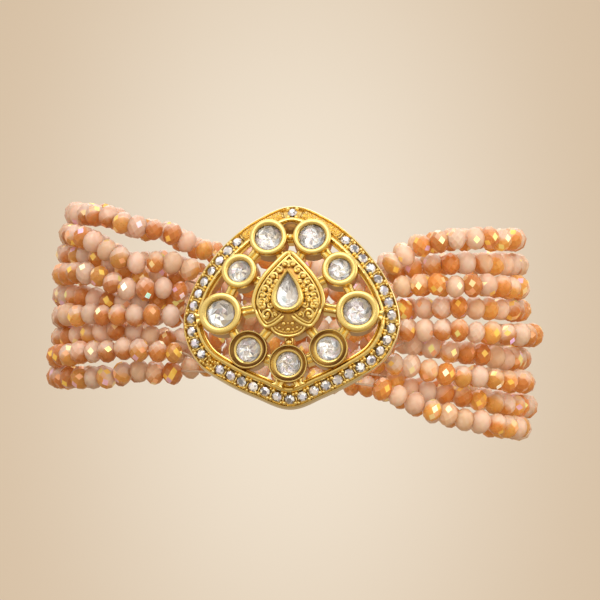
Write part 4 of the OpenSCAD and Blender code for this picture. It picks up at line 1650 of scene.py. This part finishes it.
    def line(self, i: int) -> np.ndarray:
        """Middle line of a strand's beads.

        A superellipse in plan, set in or out by its layer, sheared a little, and led to the rail beside
        the plate.

        Args:
            i: number of the strand, from 0 at the top.

        Returns:
            Points in the bracelet's frame, from the left rail to the right one.
        """
        start = 360 + self.front_angle(i, -self.left[i][5])
        end = self.front_angle(i, self.right[i][5])
        a = np.radians(np.linspace(start, end, self.samples))
        c, s = np.cos(a), np.sin(a)
        k = (np.abs(c) ** self.square + np.abs(s) ** self.square) ** (-1 / self.square)
        w = self.reach(i, np.sign(c))
        x, y = w * c * k, self.half_d * s * k
        out = unit(np.stack([np.sign(x) * (np.abs(x) / w) ** (self.square - 1) / w,
                             np.sign(y) * (np.abs(y) / self.half_d) ** (self.square - 1) / self.half_d], -1))
        depth = smooth_step(np.abs(y) / (0.75 * self.half_d))
        lead = np.where(y < 0, 1 - smooth_step((np.abs(x) - self.first) / self.lead_length), 0)
        trade = np.sin(np.pi / 2 * np.clip(y / self.swap, -1, 1))
        side = (-1 if i % 2 == 0 else 1) * np.where(x < 0, 1, trade)
        amount = self.layer_side + (np.where(y < 0, self.layer, self.layer_back) - self.layer_side) * depth
        amount = amount + self.spread * lead
        q = np.stack([x, y], -1) + (amount * side)[:, None] * out
        front = -self.half_d - self.layer - self.spread
        left, right = (self.rails.hole(i, rail, self.rails.out)[1] for rail in (-1, 1))
        seats = np.where(x < 0, left, right)
        free = -self.skew * x
        shift = free + (seats + self.rail_drop - front - free) * lead
        return np.stack([q[:, 0], q[:, 1] + shift, self.height(i, x, y)], -1)

    def bead(self, n: int = 8) -> Surface:
        """One faceted bead of unit diameter along Z, a few dozen faces in all.

        Eight upright diamonds ring the girdle. On each side of it follow eight tall kites, eight flatter
        ones and eight triangles, and a flat face closes each end.

        Args:
            n: number of facets of each kind.

        Returns:
            The closed surface.
        """
        half = 0.5 * self.bead_len / self.bead_d
        k = np.arange(n)
        whole, mid = 2 * np.pi * k / n, 2 * np.pi * (k + 0.5) / n
        rows = ((0.466, whole, 0.38), (0.368, mid, 0.71), (0.21, whole, 1.0))
        rings = [circle(r, a, side * z * half) for side in (1, -1) for r, a, z in rows]
        points = np.concatenate([circle(0.5, mid, 0), *rings])
        prev, nxt = (k - 1) % n, (k + 1) % n
        quads, tris = [np.stack([prev, 4 * n + k, k, n + k], -1)], []
        for b, order in ((n, 1), (4 * n, -1)):
            a, e = b + n, b + 2 * n
            kites = ((k, b + nxt, a + k, b + k), (b + k, a + k, e + k, a + prev))
            quads += [np.stack(f, -1)[:, ::order] for f in kites]
            tris.append(np.stack([a + k, e + nxt, e + k], -1)[:, ::order])
        return Surface.of_faces(points, [*quads, *tris, (3 * n + k)[None, :], (6 * n + k)[None, ::-1]])

    def sparkling(self, middles: list[np.ndarray]) -> list[list[tuple]]:
        """Sparks of each strand: a spark goes to the bead that is both near it and in front.

        The bead's depth and one and a half times its distance across and up are added, and the least sum
        wins.

        Args:
            middles: middles of the beads of each strand.

        Returns:
            For each strand, the bead's number, the spark's place across and up and its colour.
        """
        found = [[] for _ in middles]
        strand = np.concatenate([np.full(len(m), i) for i, m in enumerate(middles)])
        number = np.concatenate([np.arange(len(m)) for m in middles])
        p = np.concatenate(middles)
        for x, z, colour in self.sparks:
            k = np.argmin(p[:, 1] + 1.5 * np.hypot(p[:, 0] - x, p[:, 2] - z))
            found[strand[k]].append((number[k], x, z, colour))
        return found

    def tints(self, rng: np.random.Generator, turns: np.ndarray, middle: np.ndarray, one: Surface,
              sparks: list[tuple]) -> tuple[np.ndarray, np.ndarray]:
        """Colour and lustre of every facet corner of every bead.

        The amber fades in over a bead towards a direction that is mostly down, a few facets carry painted
        glints, each spark paints one facet bright, and painted shade darkens the beads on the left.

        Args:
            rng: source of chance.
            turns: (beads, 3, 3) matrices of the beads.
            middle: (beads, 3) middles of the beads.
            one: the bead that they turn.
            sparks: this strand's sparks.

        Returns:
            (beads, corners, 4) colours with the share of lustre in alpha, and which facets are shaded smooth.
        """
        beads, faces = len(turns), len(one.sizes)
        kinds = rng.choice(len(Coat), beads, p=[c.value for c in Coat])
        base = MILKY[rng.integers(0, len(MILKY), beads)] * (1 + 0.05 * rng.standard_normal((beads, 1)))
        coat = AMBER[rng.integers(0, len(AMBER), beads)] * (1 + 0.07 * rng.standard_normal((beads, 1)))
        # Painted shade: the beads on the left are darker.
        left = smooth_step((-middle[:, :1] - 6) / 12)
        base, coat = base * (1 - left * [0.15, 0.18, 0.12]), coat * (1 - left * [0.15, 0.18, 0.10])
        middles = one.face_middles()
        spots = np.repeat(middles, one.sizes, axis=0) * 0.35 + one.points[one.corners] * 0.65
        world = unit(np.einsum("kij,cj->kci", turns, spots))
        pull = unit(np.array([0.0, -0.4, -0.85]) + 0.4 * rng.standard_normal((beads, 3)))
        edge = np.array([2.5, 0.05, -0.8])[kinds][:, None]
        cover = smooth_step((np.einsum("kci,ki->kc", world, pull) - edge + 0.3) / 0.6)
        colour = base[:, None, :] + cover[..., None] * (coat[:, None, :] - base[:, None, :])
        shade = 1 + 0.035 * rng.standard_normal((beads, faces))
        side_face = np.abs(middles[:, 2]) < 0.75 * np.abs(middles[:, 2]).max()
        # Painted glints: a few side facets take a flash colour and more lustre.
        lit = (rng.random((beads, faces)) < np.array([0.02, 0.10, 0.14])[kinds][:, None]) & side_face[None, :]
        pick = FLASH[rng.choice(len(FLASH), (beads, faces), p=[0.34, 0.22, 0.18, 0.13, 0.13])]
        spread = lambda v: np.repeat(v, one.sizes, axis=1)
        flashed, shaded = 0.3 * colour + 0.7 * spread(pick), colour * spread(shade)[..., None]
        colour = np.where(spread(lit)[..., None], flashed, shaded)
        lustre = np.where(spread(lit), 0.7, 0.3 * cover)
        soft = (rng.random((beads, 1)) < np.array([0.9, 0.6, 0.15])[kinds][:, None]) & ~lit
        # Painted glints: each spark paints the facet that faces the eye nearest to it.
        for k, x, z, spark in sparks:
            spots_now = middle[k] + middles @ turns[k].T
            back = spots_now[:, 1] > middle[k, 1] - 0.7
            x, z = 0.45 * middle[k, 0] + 0.55 * x, 0.45 * middle[k, 2] + 0.55 * z
            face = np.argmin((spots_now[:, 0] - x) ** 2 + (spots_now[:, 2] - z) ** 2 + 10 * back)
            on = np.repeat(np.arange(faces) == face, one.sizes)
            colour[k, on], lustre[k, on], soft[k, face] = spark, 0.0, False
        return np.concatenate([np.clip(colour, 0, 2), lustre[..., None]], -1), soft

    def build(self, glass: bpy.types.Material, elastic: bpy.types.Material) -> None:
        """Makes each strand's beads and its thread.

        Args:
            glass: finish of the beads.
            elastic: finish of the threads.
        """
        one = self.bead()
        placed = [self.placed(i) for i in range(len(self.left))]
        sparks = self.sparkling([middle for _, middle, _, _ in placed])
        for i, (line, middle, turns, rng) in enumerate(placed):
            strand = f"bead_strand_{i + 1}"
            tints, soft = self.tints(rng, turns, middle, one, sparks[i])
            beads = one.copies(turns, middle, tints)
            beads.piece(f"beads_{i + 1}", "glass_beads", glass, [strand], soft.reshape(-1))
            nodes = [f"thread_{i + 1}" if i in self.lone_threads else strand]
            self.thread(i, line).piece(f"elastic_{i + 1}", "elastic_thread", elastic, nodes)

    def placed(self, i: int) -> tuple[np.ndarray, np.ndarray, np.ndarray, np.random.Generator]:
        """Places of a strand's beads.

        Beads stand at even distances along the strand's line, their axes along it, each rolled by chance
        and a little off in size, place and direction.

        Args:
            i: number of the strand, from 0 at the top.

        Returns:
            The strand's line, the beads' middles, their (beads, 3, 3) matrices and the source of chance.
        """
        rng = np.random.default_rng(SEED + 100 + i)
        line = self.line(i)
        far = run(line)
        count = round(far[-1] / self.pitch)
        at = far[-1] * np.arange(count + 1) / count
        point = lambda s: np.stack([np.interp(s, far, line[:, m]) for m in range(3)], -1)
        ahead = unit(point(np.minimum(at + 0.6, far[-1])) - point(np.maximum(at - 0.6, 0)))
        ahead = unit(ahead + 0.05 * rng.standard_normal(ahead.shape))
        side = unit(np.cross(ahead, UP))
        over = np.cross(side, ahead)
        roll = rng.random(len(at)) * 2 * np.pi
        c, s = np.cos(roll)[:, None], np.sin(roll)[:, None]
        size = self.bead_d * (1 + 0.035 * rng.standard_normal((len(at), 1)).clip(-2, 1.2))
        turns = np.stack([(c * side + s * over) * size, (c * over - s * side) * size, ahead * size], -1)
        middle = point(at) + 0.11 * rng.standard_normal(ahead.shape).clip(-1.5, 1.5)
        return line, middle, turns, rng

    def thread(self, i: int, line: np.ndarray) -> Surface:
        """Thread of a strand, from its hole in the left rail through the beads to the right rail.

        Args:
            i: number of the strand, from 0 at the top.
            line: the strand's line.

        Returns:
            The closed surface.
        """
        ends = []
        for side, p, q in ((-1, line[0], line[1]), (1, line[-1], line[-2])):
            inside = self.rails.hole(i, side, self.rails.inner - 0.4)
            outside = self.rails.hole(i, side, self.rails.out - 0.5)
            ends.append([inside, outside, p - (self.cad_len / 2 + 0.25) * unit(q - p)])
        return wire(np.concatenate([ends[0], line[::5], ends[1][::-1]]), self.thread_r, sides=7)


# Studio


@dataclass
class Studio:
    """Camera at the photograph's angle, soft lights, and a plain pale floor and backdrop."""

    px_per_mm: float = 7.25
    plate_px: tuple[float, float] = (291.2, 306.3)
    frame_px: float = 600
    plane_y: float = -20
    distance: float = 4000
    sensor: float = 36
    floor_z: float = -300
    wall_r: float = 5200
    wall_h: float = 5200
    bend: float = 700
    glow_r: float = 0.116
    middle_colour: tuple[float, float, float] = (0.850, 0.750, 0.618)
    edge_colour: tuple[float, float, float] = (0.640, 0.500, 0.355)
    lamps: tuple = (
        ("key", (-60, -320, 470), 0.5, 1.2, (1.0, 0.97, 0.92)),
        ("right", (560, -160, 220), 0.4, 0.5, (1.0, 0.95, 0.88)),
        ("front", (160, -600, 140), 0.5, 1.5, (1.0, 0.96, 0.92)),
        ("back", (0, 420, 380), 0.5, 0.8, (1.0, 0.95, 0.9)))
    sky: tuple = (
        (0.0, (0.34, 0.26, 0.17)), (0.34, (0.54, 0.44, 0.31)), (0.47, (0.72, 0.65, 0.52)),
        (0.60, (0.80, 0.74, 0.64)), (0.8, (0.84, 0.81, 0.75)), (1.0, (0.98, 0.95, 0.91)))
    sky_strength: float = 1.1

    def camera(self) -> None:
        """Long lens that looks along +Y and sees the plate's plane at the photograph's scale."""
        data = bpy.data.cameras.new("camera")
        data.sensor_width = self.sensor
        data.lens = self.sensor * self.distance / (self.frame_px / self.px_per_mm)
        data.clip_start, data.clip_end = 0.05, 20
        made = stand("camera", data)
        x = (self.frame_px / 2 - self.plate_px[0]) / self.px_per_mm
        z = (self.plate_px[1] - self.frame_px / 2) / self.px_per_mm
        made.location = np.array([x, self.plane_y - self.distance, z]) * MM
        made.rotation_euler = (math.pi / 2, 0, 0)
        bpy.context.scene.camera = made

    def lights(self) -> None:
        """Soft boxes: above in front, right, behind, and one from the front that the metal doesn't mirror."""
        for name, place, size, power, colour in self.lamps:
            data = bpy.data.lights.new(name, "AREA")
            data.shape, data.size, data.energy, data.color = "DISK", size, power, colour
            made = stand(name, data)
            made.location = np.array(place) * MM
            made.rotation_euler = (-made.location).to_track_quat("-Z", "Y").to_euler()
            made.visible_glossy = name != "front"

    def world(self) -> None:
        """Surroundings that the gilding reflects: bright above, pale at eye level and brown below."""
        world = bpy.data.worlds.new("studio")
        world.use_nodes = True
        bpy.context.scene.world = world
        s = Shader("studio", world.node_tree)
        _, _, up = s.parts("ShaderNodeSeparateXYZ", s.node("ShaderNodeTexCoord", output="Generated"))
        share = s.node("ShaderNodeMapRange", None, {0: up, 1: -1.0})
        colour = s.node("ShaderNodeValToRGB", {"stops": self.sky}, {0: share})
        light = s.node("ShaderNodeBackground", None, {"Color": colour, "Strength": self.sky_strength})
        s.close(light, "ShaderNodeOutputWorld")

    def cove(self) -> None:
        """Round floor that sweeps up into a wall on every side, open at the top.

        The section is a flat floor, a quarter round and an upright, carried round the Z axis. It glows in a
        painted pool of light: its colour fades with the distance from the middle of the view.
        """
        s = Shader("floor")
        across, depth, up = s.parts("ShaderNodeSeparateXYZ", s.place())
        off = (across * across + up * up * 0.32) ** 0.5
        # Painted pool of light, brightest in the middle of the view.
        glow = (1 - off.between(0.0, self.glow_r)) * depth.between(1.0, 2.0)
        pale = s.mix(self.edge_colour, self.middle_colour, glow + (s.noise(60) - 0.5) * 0.02)
        dim = s.mix((0, 0, 0), pale, 0.12)
        finish = s.finish(Base_Color=dim, Emission_Color=pale, Emission_Strength=0.94, Roughness=0.9)
        t = np.linspace(0, np.pi / 2, 14)
        turned = self.wall_r - self.bend + self.bend * np.sin(t)
        r = np.concatenate([[1.0, 500, 1200, 3000], turned, [self.wall_r]])
        z = np.concatenate([[0, 0, 0, 0], self.bend - self.bend * np.cos(t), [self.wall_h]]) + self.floor_z
        a = np.linspace(0, 2 * np.pi, 96, endpoint=False)
        rings = np.stack([circle(*ring) for ring in zip(r, [a] * len(r), z)])
        made = Surface.grid(rings, round_u=False, ends=(True, False)).thing("floor", finish)
        made.visible_glossy = made.visible_diffuse = False

    def build(self) -> None:
        """Sets up the studio."""
        self.camera()
        self.lights()
        self.world()
        self.cove()
        bpy.context.scene.view_settings.view_transform = "Standard"


def main() -> None:
    """Builds the bracelet's looks piece by piece, then the studio."""
    logging.basicConfig(level=logging.INFO, format="%(name)s %(message)s")
    gilt, foil, clear = Gilt().material(), Foil().material(), ClearStone().material()
    glass, elastic = GlassBead().material(), Elastic().material()
    plate = Plate()
    settings = round_settings()
    rim, drop, rails = Rim(plate), Drop(), Rails(plate)
    metal = {"rim": rim, "bezels": Bezels(settings), "bars": Bars(), "drop": drop, "rails": rails}
    for name, maker in metal.items():
        surface = Surface.join(maker.surfaces())
        surface.points = plate.place(surface.points)
        surface.piece(f"gilt_{name}", "gilt_metal", gilt, ["centre_setting"])
    RoundStones(plate, settings).build(foil, clear)
    # Painted glows of the foils: stronger under the pear, weaker under the small stones.
    PearStone(plate, drop).build(Foil(glow=0.16, name="pear_facets").material(), clear)
    SmallStones(plate, rim).build(Foil(glow=0.05, name="small_facets").material())
    Strands(rails).build(glass, elastic)
    Studio().build()


if __name__ == "__main__":
    main()
